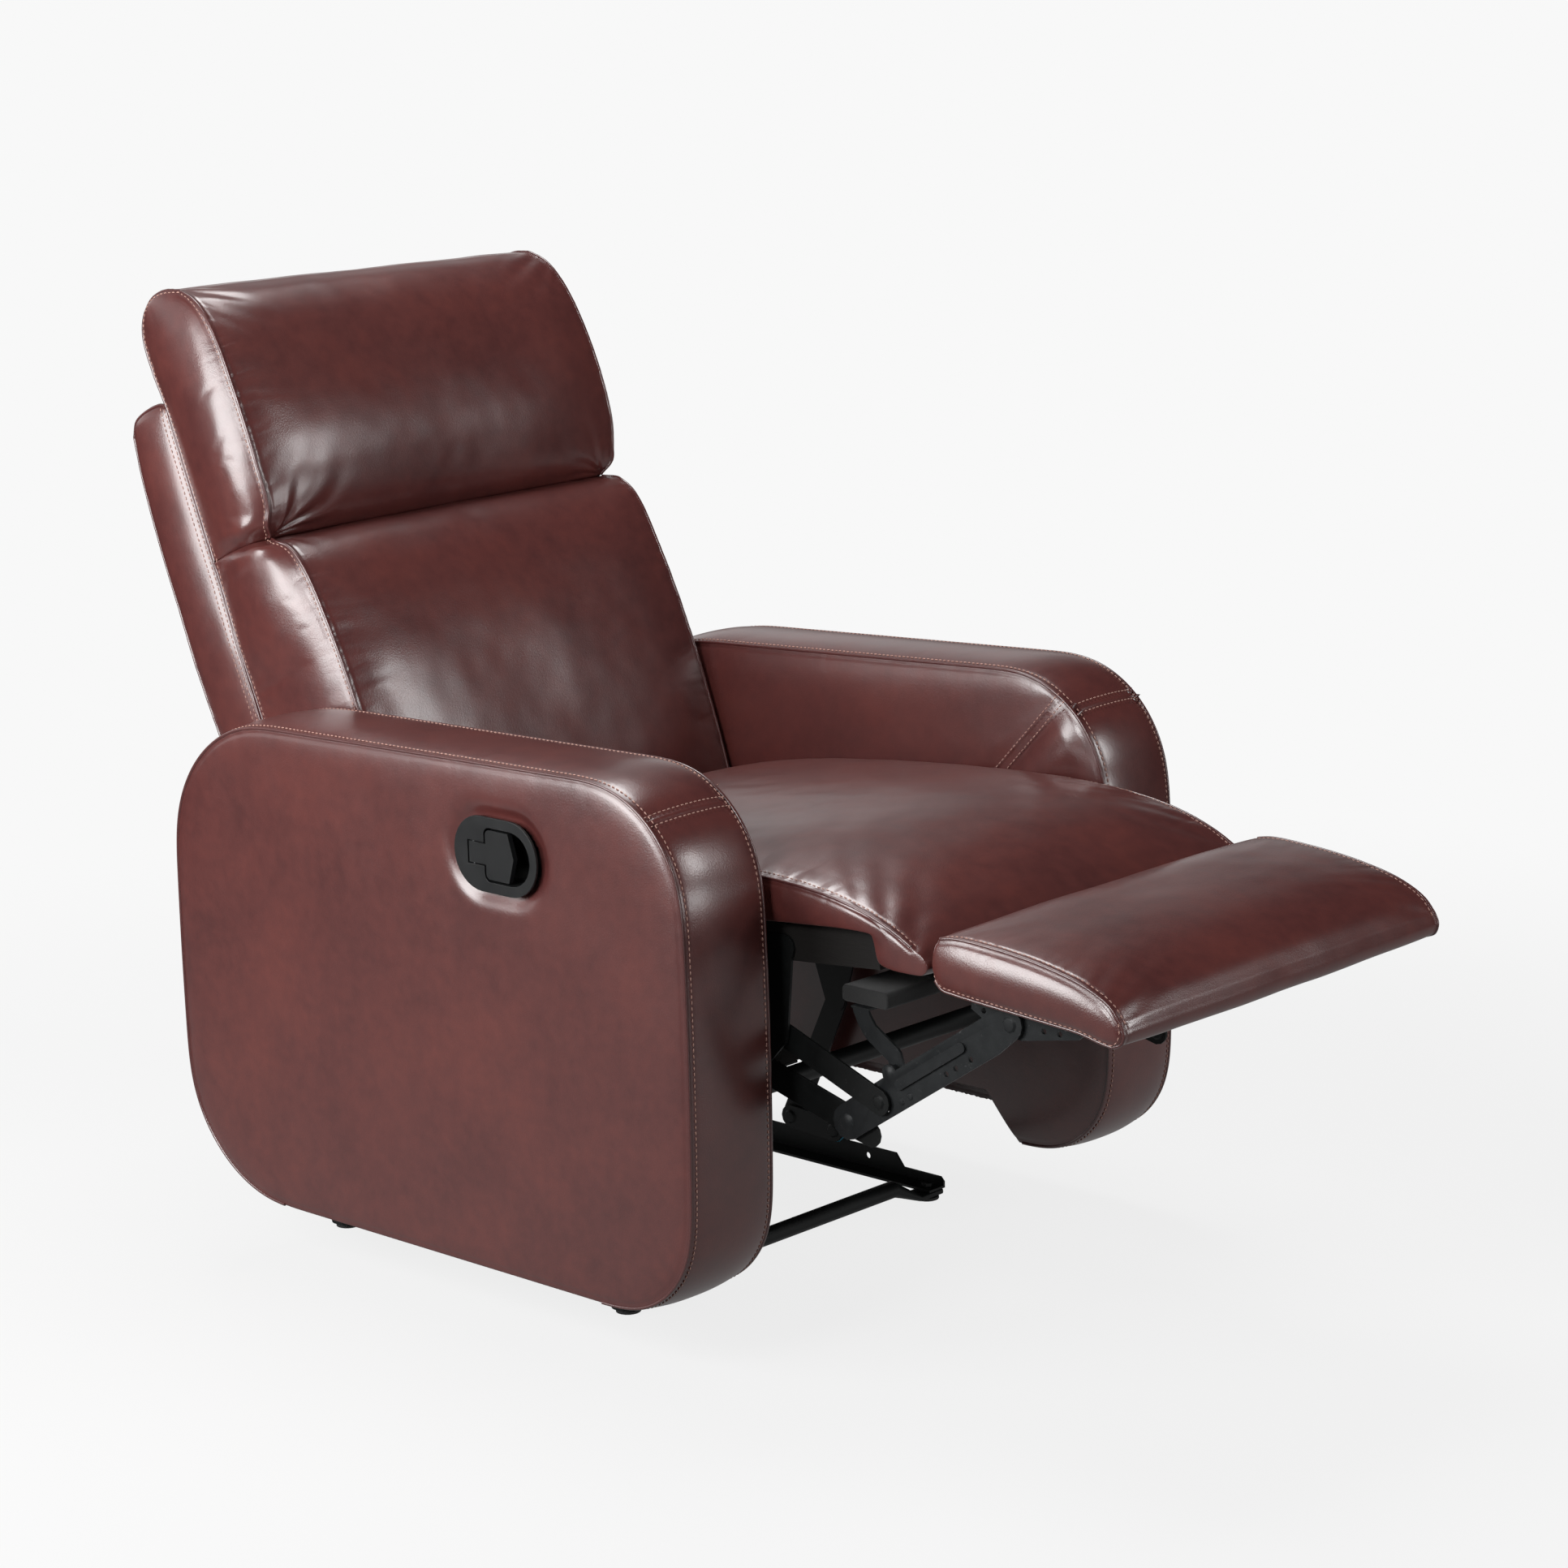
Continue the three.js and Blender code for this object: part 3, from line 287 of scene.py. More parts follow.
def woodMaterial(name, dark, light):
    s = Shader(name)
    stretched = s.add("Mapping", {}, {"Vector": s.coords, "Scale": (60.0, 4.0, 60.0)}, "Vector")
    figure = s.noise(2.2, 6.0, 0.65, stretched)
    fibre = s.noise(11.0, 4.0, 0.7, stretched)
    colour = s.mix(s.clamp(figure * 0.7 + fibre * 0.4), dark, light)
    return s.set(colour=colour, roughness=fibre * 0.2 + 0.6, specular=0.2, normal=s.bump(fibre, 0.0004, 0.4))


def blackClothMaterial():
    s = Shader("blackCloth")
    fibre = s.noise(1300.0, 4.0, 0.7)
    felt = s.noise(260.0, 4.0, 0.7)
    colour = s.mix(felt, grey(0.006), grey(0.022))
    nap = s.bump(fibre + felt, 0.0005, 0.7)
    return s.set(colour=colour, roughness=felt * 0.15 + 0.8, normal=nap, sheen=0.15)


def webbingMaterial():
    s = Shader("webbing")
    threads = {"Vector": s.coords, "Scale": 160.0, "Distortion": 0.6}
    weave = s.add("TexWave", {"bands_direction": "X"}, threads, "Fac")
    weft = s.add("TexWave", {"bands_direction": "Z"}, threads, "Fac")
    cloth = weave * 0.5 + weft * 0.5
    colour = s.mix(cloth, rgb(0.012, 0.012, 0.014), rgb(0.055, 0.055, 0.06))
    return s.set(colour=colour, roughness=cloth * 0.1 + 0.78, normal=s.bump(cloth, 0.0006, 0.7))


materials = {
    "leather": leatherMaterial(),
    "thread": threadMaterial(),
    # the steel keeps its own black or grey paint, but both colours are set darker than that paint to stand in
    # for the shade under the seat: partly real colour, partly painted shade
    "black_steel": paintedSteelMaterial(
        "blackSteel", rgb(0.0025, 0.003, 0.003), rgb(0.006, 0.007, 0.007),
        wear=0.06, roughness=0.5, metallic=0.0),
    "grey_steel": paintedSteelMaterial(
        "greySteel", rgb(0.009, 0.010, 0.011), rgb(0.022, 0.024, 0.025),
        wear=0.30, roughness=0.44, metallic=0.15),
    "spring_steel": bareSteelMaterial(),
    "blue_nylon": mouldedPlasticMaterial("blueNylon", (0.10, 0.42, 0.62), 0.42, 900.0),
    "latch_plastic": mouldedPlasticMaterial("latchPlastic", (0.012, 0.0125, 0.013), 0.36, 1300.0),
    "glide_rubber": rubberMaterial(),
    "wood": woodMaterial("plywood", rgb(0.30, 0.19, 0.10), rgb(0.52, 0.38, 0.22)),
    # painted shade: this wood is near-black to stand in for the shade under the seat and inside the arms
    "dark_wood": woodMaterial("darkWood", rgb(0.004, 0.0035, 0.0035), rgb(0.012, 0.0105, 0.0095)),
    "black_cloth": blackClothMaterial(),
    "webbing": webbingMaterial(),
}
print("materials made:", len(materials))


# evenly spaced points along a polyline
def resample(points, count):
    points = np.asarray(points, float)
    along = np.concatenate([[0], np.cumsum(np.linalg.norm(np.diff(points, axis=0), axis=1))])
    wanted = np.linspace(0, along[-1], count)
    return np.stack([np.interp(wanted, along, points[:, axis]) for axis in range(points.shape[1])], axis=1)


# a smooth line through the given points, evenly sampled
def smoothLine(points, count):
    points = np.asarray(points, float)
    if len(points) < 3:
        return resample(points, count)
    knots = np.concatenate([[0], np.cumsum(np.sqrt(np.linalg.norm(np.diff(points, axis=0), axis=1)))])
    slope = np.gradient(points, knots, axis=0)
    out = []
    for i in range(len(points) - 1):
        span = knots[i + 1] - knots[i]
        t = np.linspace(0, 1, 24, endpoint=False)[:, None]
        out.append((2 * t**3 - 3 * t**2 + 1) * points[i] + (t**3 - 2 * t**2 + t) * span * slope[i]
                   + (3 * t**2 - 2 * t**3) * points[i + 1] + (t**3 - t**2) * span * slope[i + 1])
    return resample(np.vstack(out + [points[-1:]]), count)


def newMesh(name, verts, faces, merge=True):
    mesh = bpy.data.meshes.new(name)
    mesh.from_pydata(np.asarray(verts, float).tolist(), [], faces)
    obj = bpy.data.objects.new(name, mesh)
    scene.collection.objects.link(obj)
    if merge:
        work = bmesh.new()
        work.from_mesh(mesh)
        bmesh.ops.remove_doubles(work, verts=work.verts, dist=0.02 * mm)
        bmesh.ops.recalc_face_normals(work, faces=work.faces)
        work.to_mesh(mesh)
        work.free()
    mesh.polygons.foreach_set("use_smooth", [True] * len(mesh.polygons))
    return obj


# leaves what the modifiers make as the object's own mesh
def applyModifiers(obj):
    plain = bpy.data.meshes.new_from_object(obj.evaluated_get(bpy.context.evaluated_depsgraph_get()))
    obj.modifiers.clear()
    obj.data = plain


def gridFaces(rows, columns, start=0, wrap=False):
    faces = []
    for i in range(rows - 1):
        for j in range(columns if wrap else columns - 1):
            a, b = start + i * columns + j, start + i * columns + (j + 1) % columns
            faces.append((a, b, b + columns, a + columns))
    return faces


def vertsOf(obj):
    flat = np.empty(len(obj.data.vertices) * 3)
    obj.data.vertices.foreach_get("co", flat)
    return flat.reshape(-1, 3)


def normalsOf(obj):
    flat = np.empty(len(obj.data.vertices) * 3)
    obj.data.vertices.foreach_get("normal", flat)
    return flat.reshape(-1, 3)


def setVerts(obj, co):
    obj.data.vertices.foreach_set("co", np.asarray(co, float).ravel())
    obj.data.update()


# For every point of a piece: how far the nearest seam is, and how far along the seams that is, in mm.
def seamCoordinates(co, seams):
    points, places = [], []
    offset = 0.0
    for seam in seams:
        length = np.linalg.norm(np.diff(seam, axis=0), axis=1).sum()
        count = max(4, int(length / (2 * mm)))
        points.append(resample(seam, count))
        places.append(offset + np.linspace(0, length, count) / mm)
        offset += length / mm + 400
    points, places = np.vstack(points), np.concatenate(places)
    tree = kdtree.KDTree(len(points))
    for i, point in enumerate(points):
        tree.insert(point, i)
    tree.balance()
    found = [tree.find(c) for c in co]
    gap = np.array([f[2] for f in found]) / mm
    return gap, places[np.array([f[1] for f in found])]


# the least and most of what is drawn for each fold, as shares of the look's own numbers
foldDraw = {
    "pitch": (0.4, 1.6), "width": (0.45, 1.2), "size": (0.1, 1.0), "reach": (0.4, 1.4), "lean": (-0.25, 0.25),
}
fewDeep = 1.6    # the higher, the fewer of the folds are deep


# Small folds that run away from a seam, gathered there by the thread.
def puckers(gap, place, look, seed):
    rng = np.random.default_rng(seed)
    depth = np.zeros(len(gap))
    close = gap < look["reach"] * 4
    at = 0.0
    while at < place.max():
        at += rng.uniform(*foldDraw["pitch"]) * look["pitch"]
        width = rng.uniform(*foldDraw["width"]) * look["width"]
        size = rng.uniform(*foldDraw["size"]) ** fewDeep * look["depth"]
        reach = rng.uniform(*foldDraw["reach"]) * look["reach"]
        pick = close & (np.abs(place - at) < 3.5 * width)
        lean = gap[pick] * rng.uniform(*foldDraw["lean"])
        depth[pick] += size * np.exp(-((place[pick] - at - lean) / width) ** 2) * np.exp(-gap[pick] / reach)
    return depth


def unevenness(co, pitch, seed):
    shift = Vector((seed * 3.17, seed * 1.71, seed * 0.93))
    return np.array([noise.noise(Vector(c) / pitch + shift) for c in co])


# the uneven fill under the leather: its coarse and fine lumps in m, and how far from a seam it is full, in mm
stuffing = {"pitch": 0.11, "finePitch": 0.035, "fineShare": 0.22, "rise": 30}
# how much the broad folds exceed the fine ones
broadFolds = {"pitch": 3.4, "width": 3, "reach": 2.2, "depth": 1.4}


# Leather over padding: puckers and a sewn groove at the seams, and a slightly uneven fill between.
def dressLeather(obj, seams, look, seed, extra=None):
    co, normal = vertsOf(obj), normalsOf(obj)
    gap, place = seamCoordinates(co, seams)
    coarse = unevenness(co, look.get("pitchFill", stuffing["pitch"]), seed) * look["fill"]
    fine = unevenness(co, stuffing["finePitch"], seed + 5) * look["fill"] * stuffing["fineShare"]
    fill = np.clip(gap / stuffing["rise"], 0, 1) * (coarse + fine)
    broad = dict(look, **{key: look[key] * times for key, times in broadFolds.items()})
    sink = puckers(gap, place, look, seed) + puckers(gap, place, broad, seed + 3)
    sink *= np.clip(gap / 2.5, 0, 1)
    sink *= 1 - look.get("sideCalm", 0.0) * np.clip((np.abs(normal[:, 0]) - 0.55) / 0.3, 0, 1)
    sink += look["groove"] * np.exp(-((gap - look["stitch"]) / 1.6) ** 2)
    move = (fill - sink) * mm
    if extra is not None:
        move += extra(co, gap) * mm
    setVerts(obj, co + normal * move[:, None])
    attribute = obj.data.attributes.new("seam", "FLOAT", "POINT")
    attribute.data.foreach_set("value", gap.astype(np.float32))


seamKit = {
    "weltRadius": 1.9 * mm, "weltSink": 0.4 * mm, "pitch": 6.2 * mm, "length": 4.4 * mm,
    "thickness": 1.45 * mm, "lift": 0.1 * mm,
}
seamRows = {}    # per body, the lines that get a welt and the lines that get stitches


def sew(body, welt=None, stitches=()):
    rows = seamRows.setdefault(body, {"welt": [], "stitch": []})
    if welt is not None:
        rows["welt"].append(welt)
    rows["stitch"] += list(stitches)


innerLow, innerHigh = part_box("arm_inner_panel_left")
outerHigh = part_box("arm_outer_panel_left")[1]
chairY = jointAt["footrest_fold"].y + 330 * mm
armZ = jointAt["footrest_fold"].z - 237 * mm
arm = {
    "frontTop": {"right": 128 * mm, "left": 142 * mm}, "rearTop": {"right": 152 * mm, "left": 162 * mm},
    "frontFoot": {"right": 106 * mm, "left": 104 * mm}, "rearFoot": 150 * mm,
    "fall": {"right": 0.025, "left": 0.052}, "fallShift": {"right": 0.0, "left": 90 * mm},
    "trim": {"right": 0.0, "left": 9 * mm}, "scale": {"right": 1.0, "left": 0.987},
    "bow": 8 * mm, "sag": 2.5 * mm, "softRun": 17, "outline": 1200, "across": 40, "cells": 190,
    "halfLength": (innerHigh.y - innerLow.y) / 2 - 7 * mm, "height": 556 * mm,
    "outer": outerHigh.x, "inner": innerLow.x, "thick": 9 * mm,
    "seamDepth": 3.4 * mm, "innerSeam": 6.5 * mm, "crown": 6.4 * mm,
    "round": (2.2, 0.7), "puff": 4.6 * mm,
    "mouthFront": -260 * mm, "mouthRear": 243 * mm, "mouthTop": 20 * mm,
    "notch": 60 * mm, "notchLean": 47 * mm,
    "look": {"pitch": 9, "width": 3.2, "depth": 0.22, "reach": 8, "fill": 0.9, "groove": 0.45, "stitch": 5.5},
    "crossSeam": (-349 * mm, 528 * mm), "slantSeam": [(-332 * mm, 536 * mm), (-190 * mm, 388 * mm)],
}
crossFold = {"depth": 2.2, "reach": 16, "ridge": 1.4, "ridgeReach": 3.2}
slantFold = {
    "depth": 3.2, "reach": 17, "ridge": 1.2, "ridgeReach": 3, "pad": 5.5, "padAt": 40, "padReach": 26,
}
stitchGap = arm["look"]["stitch"] * mm


# a soft hollow with the ridge of a seam along its middle, in mm
def foldShape(away, fold):
    return (fold["ridge"] * np.exp(-(away / fold["ridgeReach"]) ** 2)
            - fold["depth"] * np.exp(-(away / fold["reach"]) ** 2))


# The arm's side outline as a closed line of (y, z), from the middle of the underside forwards.
def armOutline(name, count):
    a = arm
    half, top = a["halfLength"], a["height"]
    frontFoot, frontTop, rearTop = a["frontFoot"][name], a["frontTop"][name], a["rearTop"][name]
    corners = [(-half + frontFoot, frontFoot, frontFoot, 270, -90),
               (-half + frontTop, top - frontTop, frontTop, 180, -90),
               (half - rearTop, top - rearTop, rearTop, 90, -90),
               (half - a["rearFoot"], a["rearFoot"], a["rearFoot"], 0, -90)]
    points = [(0.0, 0.0)]
    for cy, cz, radius, start, turn in corners:
        for step in np.linspace(0, 1, 25):
            angle = math.radians(start + turn * step)
            points.append((cy + radius * math.cos(angle), cz + radius * math.sin(angle)))
    line = resample(np.array(points + [(0.0, 0.0)]), 1201)[:-1]
    rise = np.clip((line[:, 1] - top / 2) / (top / 2), -1, 1)
    fall = a["fall"][name] * (line[:, 0] + a["fallShift"][name]) * np.clip(line[:, 1] / top, 0, 1)
    line[:, 0] += np.sign(line[:, 0]) * a["bow"] * (1 - rise**2)
    line[:, 1] -= fall + a["sag"] * (1 - line[:, 1] / top)
    line = (line - (0, top / 2)) * a["scale"][name] + (0, top / 2)
    # leather runs softly from the straight into the round
    soft = np.mean([np.roll(line, k, axis=0) for k in range(-a["softRun"], a["softRun"] + 1)], axis=0)
    return resample(np.vstack([soft, soft[:1]]), count + 1)[:-1]


def outwardNormals(line):
    along = np.roll(line, -1, axis=0) - np.roll(line, 1, axis=0)
    normal = np.stack([-along[:, 1], along[:, 0]], axis=1)
    normal /= np.linalg.norm(normal, axis=1)[:, None]
    middle = line.mean(axis=0)
    facing = np.sign(((line - middle) * normal).sum(axis=1).mean())
    return normal * facing


armLine = {name: armOutline(name, arm["outline"]) for name in sides}
armNormal = {name: outwardNormals(line) for name, line in armLine.items()}


def armPoint(x, yz):
    yz = np.asarray(yz, float).reshape(-1, 2)
    return np.stack([np.full(len(yz), x), yz[:, 0] + chairY, yz[:, 1] + armZ], axis=1)


# Height of the border strip above its seams, across its width: v is 0 at the outer seam, 1 at the inner.
def borderGrow(v):
    power, shoulder = arm["round"]
    return -arm["seamDepth"] + arm["crown"] * (1 - np.abs(2 * v - 1) ** power) ** shoulder


def borderX(name, v):
    near, far = arm["outer"] - arm["trim"][name] - arm["seamDepth"], arm["inner"] + arm["innerSeam"]
    return sides[name] * (near + (far - near) * v)


def borderLine(name, v, lift=0.0):
    return armPoint(borderX(name, v), armLine[name] + armNormal[name] * (borderGrow(v) + lift))


# Which points of the outline the border strip covers: all but the mouth under the arm.
covered, crossIndex = {}, {}
for name, line in armLine.items():
    between = (line[:, 0] > arm["mouthFront"]) & (line[:, 0] < arm["mouthRear"])
    mouth = (line[:, 1] < arm["mouthTop"]) & between
    covered[name] = np.flatnonzero(~mouth)
    crossIndex[name] = int(np.argmin(np.linalg.norm(line - np.array(arm["crossSeam"]), axis=1)))


def armSeam(name, v, lift=0.0):
    return borderLine(name, v, lift)[covered[name]]


def crossLine(name, shift, lift=0.2 * mm):
    step = np.linalg.norm(np.diff(armLine[name], axis=0), axis=1).mean()
    index = (crossIndex[name] + int(round(shift / step))) % arm["outline"]
    return np.vstack([borderLine(name, v, lift)[index] for v in np.linspace(0.02, 0.98, 40)])


def armBorder(name):
    across = 0.5 - 0.5 * np.cos(np.linspace(0, math.pi, arm["across"]))
    verts = np.vstack([armSeam(name, v) for v in across])
    count = len(covered[name])
    obj = newMesh(f"armBorder_{name}", verts, gridFaces(len(across), count))
    middle = (chairY, armZ + arm["height"] / 2)
    orient(obj, lambda c: np.column_stack([np.zeros(len(c)), c[:, 1:] - middle]))
    cross = crossLine(name, 0)
    look = dict(arm["look"], fill=0.6)

    def crossDip(co, gap):
        return foldShape(seamCoordinates(co, [cross])[0], crossFold)

    dressLeather(obj, [armSeam(name, 0), armSeam(name, 1)], look, 12 + sides[name], crossDip)
    solidify(obj, arm["thick"])
    finishLeather(obj, "root", [f"arm_border_{name}"])


# flips the faces if they look against the given outward direction
def orient(obj, outward):
    co, normal = vertsOf(obj), normalsOf(obj)
    if (outward(co) * normal).sum() < 0:
        obj.data.flip_normals()


def solidify(obj, thick):
    wall = obj.modifiers.new("wall", "SOLIDIFY")
    wall.thickness, wall.offset, wall.use_even_offset = thick, -1, False
    applyModifiers(obj)


def finishLeather(obj, body, replaced):
    obj.data.materials.clear()
    obj.data.materials.append(materials["leather"])
    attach(obj, body)
    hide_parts(*replaced)
    print("made", obj.name, len(obj.data.polygons), "faces")


# A grid whose square rings are the outline drawn smaller and smaller: edge to middle.
def ringGrid(line, cells, centre):
    half = cells // 2
    dense = np.vstack([line, line[:1]])
    fraction = np.linspace(0, 1, len(dense))
    a, b = np.meshgrid(np.arange(-half, half + 1), np.arange(-half, half + 1), indexing="ij")
    ring = np.maximum(np.abs(a), np.abs(b))
    safe = np.maximum(ring, 1)
    # the place round the square ring, 0 at its lower middle, going to its front
    turn = np.where((b == -ring) & (a <= 0), -a / safe, np.where(
        a == -ring, 2 + b / safe, np.where(b == ring, 4 + a / safe, np.where(
            a == ring, 6 - b / safe, 8 - a / safe)))) / 8
    size = 1 - (1 - ring / half) ** 1.35
    y = np.interp(turn, fraction, dense[:, 0])
    z = np.interp(turn, fraction, dense[:, 1])
    grid = np.stack([centre[0] + (y - centre[0]) * size, centre[1] + (z - centre[1]) * size], axis=-1)
    return grid.reshape(-1, 2), 2 * half + 1


latch = {"margin": 5 * mm, "sink": 2.6 * mm, "rim": 0.9, "edge": 120, "dish": 0.8, "dishReach": 45}
housingLow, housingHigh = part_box("latch_housing")
bezelY = ((housingLow.y + housingHigh.y) / 2, (housingHigh.y - housingLow.y) / 2)
bezelZ = ((housingLow.z + housingHigh.z) / 2, (housingHigh.z - housingLow.z) / 2)


# distance outside the latch's stadium outline
def beyondBezel(co):
    run = bezelY[1] - bezelZ[1]
    dy = np.maximum(np.abs(co[:, 1] - bezelY[0]) - run, 0)
    return np.hypot(dy, co[:, 2] - bezelZ[0]) - bezelZ[1]


panels = {
    "outer": {"soft": 13, "fill": 1.0, "seed": 21, "puff": arm["puff"], "across": 0.0},
    "inner": {"soft": 19, "fill": 0.8, "seed": 31, "puff": arm["innerSeam"], "across": 1.0},
}


def armPanel(name, kind):
    side, panel = sides[name], panels[kind]
    outer = kind == "outer"
    edge = armLine[name] - armNormal[name] * arm["seamDepth"] * 0.9
    flat, count = ringGrid(edge, arm["cells"], (0.0, arm["height"] / 2))
    seamX = borderX(name, panel["across"])
    face = arm["inner"]
    verts = armPoint(seamX, flat)
    obj = newMesh(f"arm{kind.title()}Panel_{name}", verts, gridFaces(count, count))
    way = side if outer else -side
    orient(obj, lambda c: np.tile([way, 0.0, 0.0], (len(c), 1)))
    co = vertsOf(obj)
    seam = armPoint(seamX, np.vstack([edge, edge[:1]]))
    gap, _ = seamCoordinates(co, [seam])
    puff = panel["puff"]
    co[:, 0] = seamX + way * puff * (1 - np.exp(-gap / panel["soft"]))
    slant = armPoint(side * face, arm["slantSeam"])

    def hollows(points, gapHere):
        if outer and side < 0:
            away = np.maximum(beyondBezel(points) / mm, 0)
            deep = latch["sink"] / mm + puff / mm * latch["rim"]
            dish = latch["dish"] * np.exp(-away / latch["dishReach"])
            return -deep * np.exp(-away ** 2 / latch["edge"]) - dish
        if not outer:
            away, _ = seamCoordinates(points, [slant])
            ahead = slant[0][1] - points[:, 1] + (slant[0][2] - points[:, 2])
            pad = slantFold["pad"] * np.exp(-((away - slantFold["padAt"]) / slantFold["padReach"]) ** 2)
            return pad * (ahead > 0) * np.clip(gapHere / 25, 0, 1) + foldShape(away, slantFold)
        return np.zeros(len(points))

    if not outer:
        work = bmesh.new()
        setVerts(obj, co)
        work.from_mesh(obj.data)
        lean = Vector((0, arm["notch"], -arm["notchLean"])).normalized()
        front, top = Vector((0, chairY + arm["mouthFront"], armZ)), Vector((0, 0, armZ + arm["notch"]))
        for place, normal in ((front, lean), (top, Vector((0, 0, 1)))):
            bmesh.ops.bisect_plane(work, geom=work.verts[:] + work.edges[:] + work.faces[:],
                                   plane_co=place, plane_no=normal)
        gone = [f for f in work.faces if (f.calc_center_median() - front).dot(lean) > 0
                and f.calc_center_median().z < top.z]
        bmesh.ops.delete(work, geom=gone, context="FACES")
        work.to_mesh(obj.data)
        work.free()
    else:
        setVerts(obj, co)
    look = dict(arm["look"], fill=panel["fill"])
    dressLeather(obj, [seam], look, panel["seed"] + side, hollows)
    if outer and side < 0:
        work = bmesh.new()
        work.from_mesh(obj.data)
        pocket = [f for f in work.faces
                  if beyondBezel(np.array([f.calc_center_median()]))[0] < -latch["margin"]]
        bmesh.ops.delete(work, geom=pocket, context="FACES")
        work.to_mesh(obj.data)
        work.free()
    solidify(obj, arm["thick"])
    finishLeather(obj, "root", [f"arm_{kind}_panel_{name}"])
    if not outer:
        for shift in (-stitchGap, stitchGap):
            line = np.array(arm["slantSeam"]) + np.array([1, 1]) * shift / math.sqrt(2)
            sew("root", None, [armPoint(side * (face - 0.5 * mm), line)])


for name in sides:
    armBorder(name)
    armPanel(name, "outer")
    armPanel(name, "inner")
    for v, step in ((0.0, 0.052), (1.0, -0.052)):
        sew("root", armSeam(name, v, seamKit["lift"]), [armSeam(name, v + step, 0.25 * mm)])
    sew("root", None, [crossLine(name, shift, seamKit["lift"]) for shift in (-stitchGap, stitchGap)])
print("arms done")


# A closed padded form. Its side outline is four lines of (y, z): front or top, end, rear or bottom, start.
# Every line across the width bulges by the crown times the local share.
class Cushion:
    def __init__(self, settings, place):
        self.s, self.place = settings, place
        n, k = settings["count"]
        self.n, self.k = n, k
        self.top = smoothLine(settings["top"], n)
        self.low = smoothLine(settings["low"], n)
        self.start = smoothLine(settings["start"], k)
        self.end = smoothLine(settings["end"], k)
        self.loop = np.vstack([self.top, self.end[1:-1], self.low[::-1], self.start[::-1][1:-1]])
        along = np.roll(self.loop, -1, axis=0) - np.roll(self.loop, 1, axis=0)
        normal = np.stack([along[:, 1], -along[:, 0]], axis=1)
        normal /= np.linalg.norm(normal, axis=1)[:, None] + 1e-12
        middle = self.loop.mean(axis=0)
        self.normal = normal * np.sign(((self.loop - middle) * normal).sum(axis=1).mean())
        self.share = self.spreadOut(settings["share"])
        self.flare = self.spreadOut(settings.get("flare", [[0, 0]] * 4)) * mm
        if "tuck" in settings:    # the corner that the crease between two cushions pulls in
            index, depth, reach = settings["tuck"]
            step = np.linalg.norm(self.loop - np.roll(self.loop, 1, axis=0), axis=1)
            reached = np.cumsum(step)
            away = np.abs(reached - reached[index])
            away = np.minimum(away, reached[-1] - away)
            self.flare += (depth * 0.45 * np.exp(-((away - 1.9 * reach) / reach) ** 2)
                           - depth * np.exp(-(away / reach) ** 2)) * mm

    # values given at even steps along each of the four lines, for every point of the loop
    def spreadOut(self, given, window=5):
        n, k = self.n, self.k
        marks = np.cumsum([0, n, k - 2, n, k - 2])
        out = np.zeros(len(self.loop))
        for (a, b), stops in zip(zip(marks[:-1], marks[1:]), given):
            stops = stops if a < n + k - 2 else stops[::-1]
            out[a:b] = np.interp(np.linspace(0, 1, b - a), np.linspace(0, 1, len(stops)), stops)
        return np.mean([np.roll(out, j) for j in range(-window, window + 1)], axis=0)

    def bulge(self, t):
        power, shoulder = self.s["round"]
        return self.s["crown"] * (1 - abs(t) ** power) ** shoulder

    # one line round the cushion at t from -1 to 1 across its width, lifted off the surface
    def ring(self, t, lift=0.0):
        shape = self.loop + self.normal * (self.bulge(t) * self.share + lift)[:, None]
        return self.place(t * (self.s["half"] + self.flare), shape)

    # the closed ring at one side as its four edges: front or top, end, rear or bottom, start
    def edges(self, side):
        n, k, ring = self.n, self.k, self.ring(side)
        start = np.vstack([ring[:1], ring[2 * n + k - 2:][::-1], ring[2 * n + k - 3:2 * n + k - 2]])
        return ring[:n], ring[n - 1:n + k - 1], ring[n + k - 2:2 * n + k - 2][::-1], start

    # the panel that closes one side, stretched between the four edges and padded outwards
    def gusset(self, side):
        n, k = self.n, self.k
        i, j = np.linspace(0, 1, n)[:, None, None], np.linspace(0, 1, k)[None, :, None]
        top, end, low, start = self.edges(side)
        patch = (1 - j) * top[:, None] + j * low[:, None] + (1 - i) * start[None] + i * end[None] - (
            (1 - i) * (1 - j) * top[0] + (1 - i) * j * low[0] + i * (1 - j) * top[-1] + i * j * low[-1])
        stops = self.s.get("gussetShare", [1, 1])
        share = np.interp(np.linspace(0, 1, n), np.linspace(0, 1, len(stops)), stops)[:, None]
        across, along = self.s.get("gussetRound", (0.85, 0.35))
        swell = share * (4 * j * (1 - j))[..., 0] ** across * (4 * i * (1 - i))[..., 0] ** along
        patch[..., 0] += side * self.s["gusset"] * swell
        return patch

    def mesh(self, name):
        n, k = self.n, self.k
        angle = np.linspace(-1, 1, self.s["across"])
        spread = np.sign(angle) * (1 - (1 - np.abs(angle)) ** 1.4)
        rings = [self.ring(t) for t in spread]
        faces = gridFaces(len(rings), len(self.loop), 0, True)
        verts = [np.vstack(rings)]
        offset = len(verts[0])
        for side in (-1, 1):
            verts.append(self.gusset(side).reshape(-1, 3))
            faces += gridFaces(n, k, offset)
            offset += n * k
        return newMesh(name, np.vstack(verts), faces)

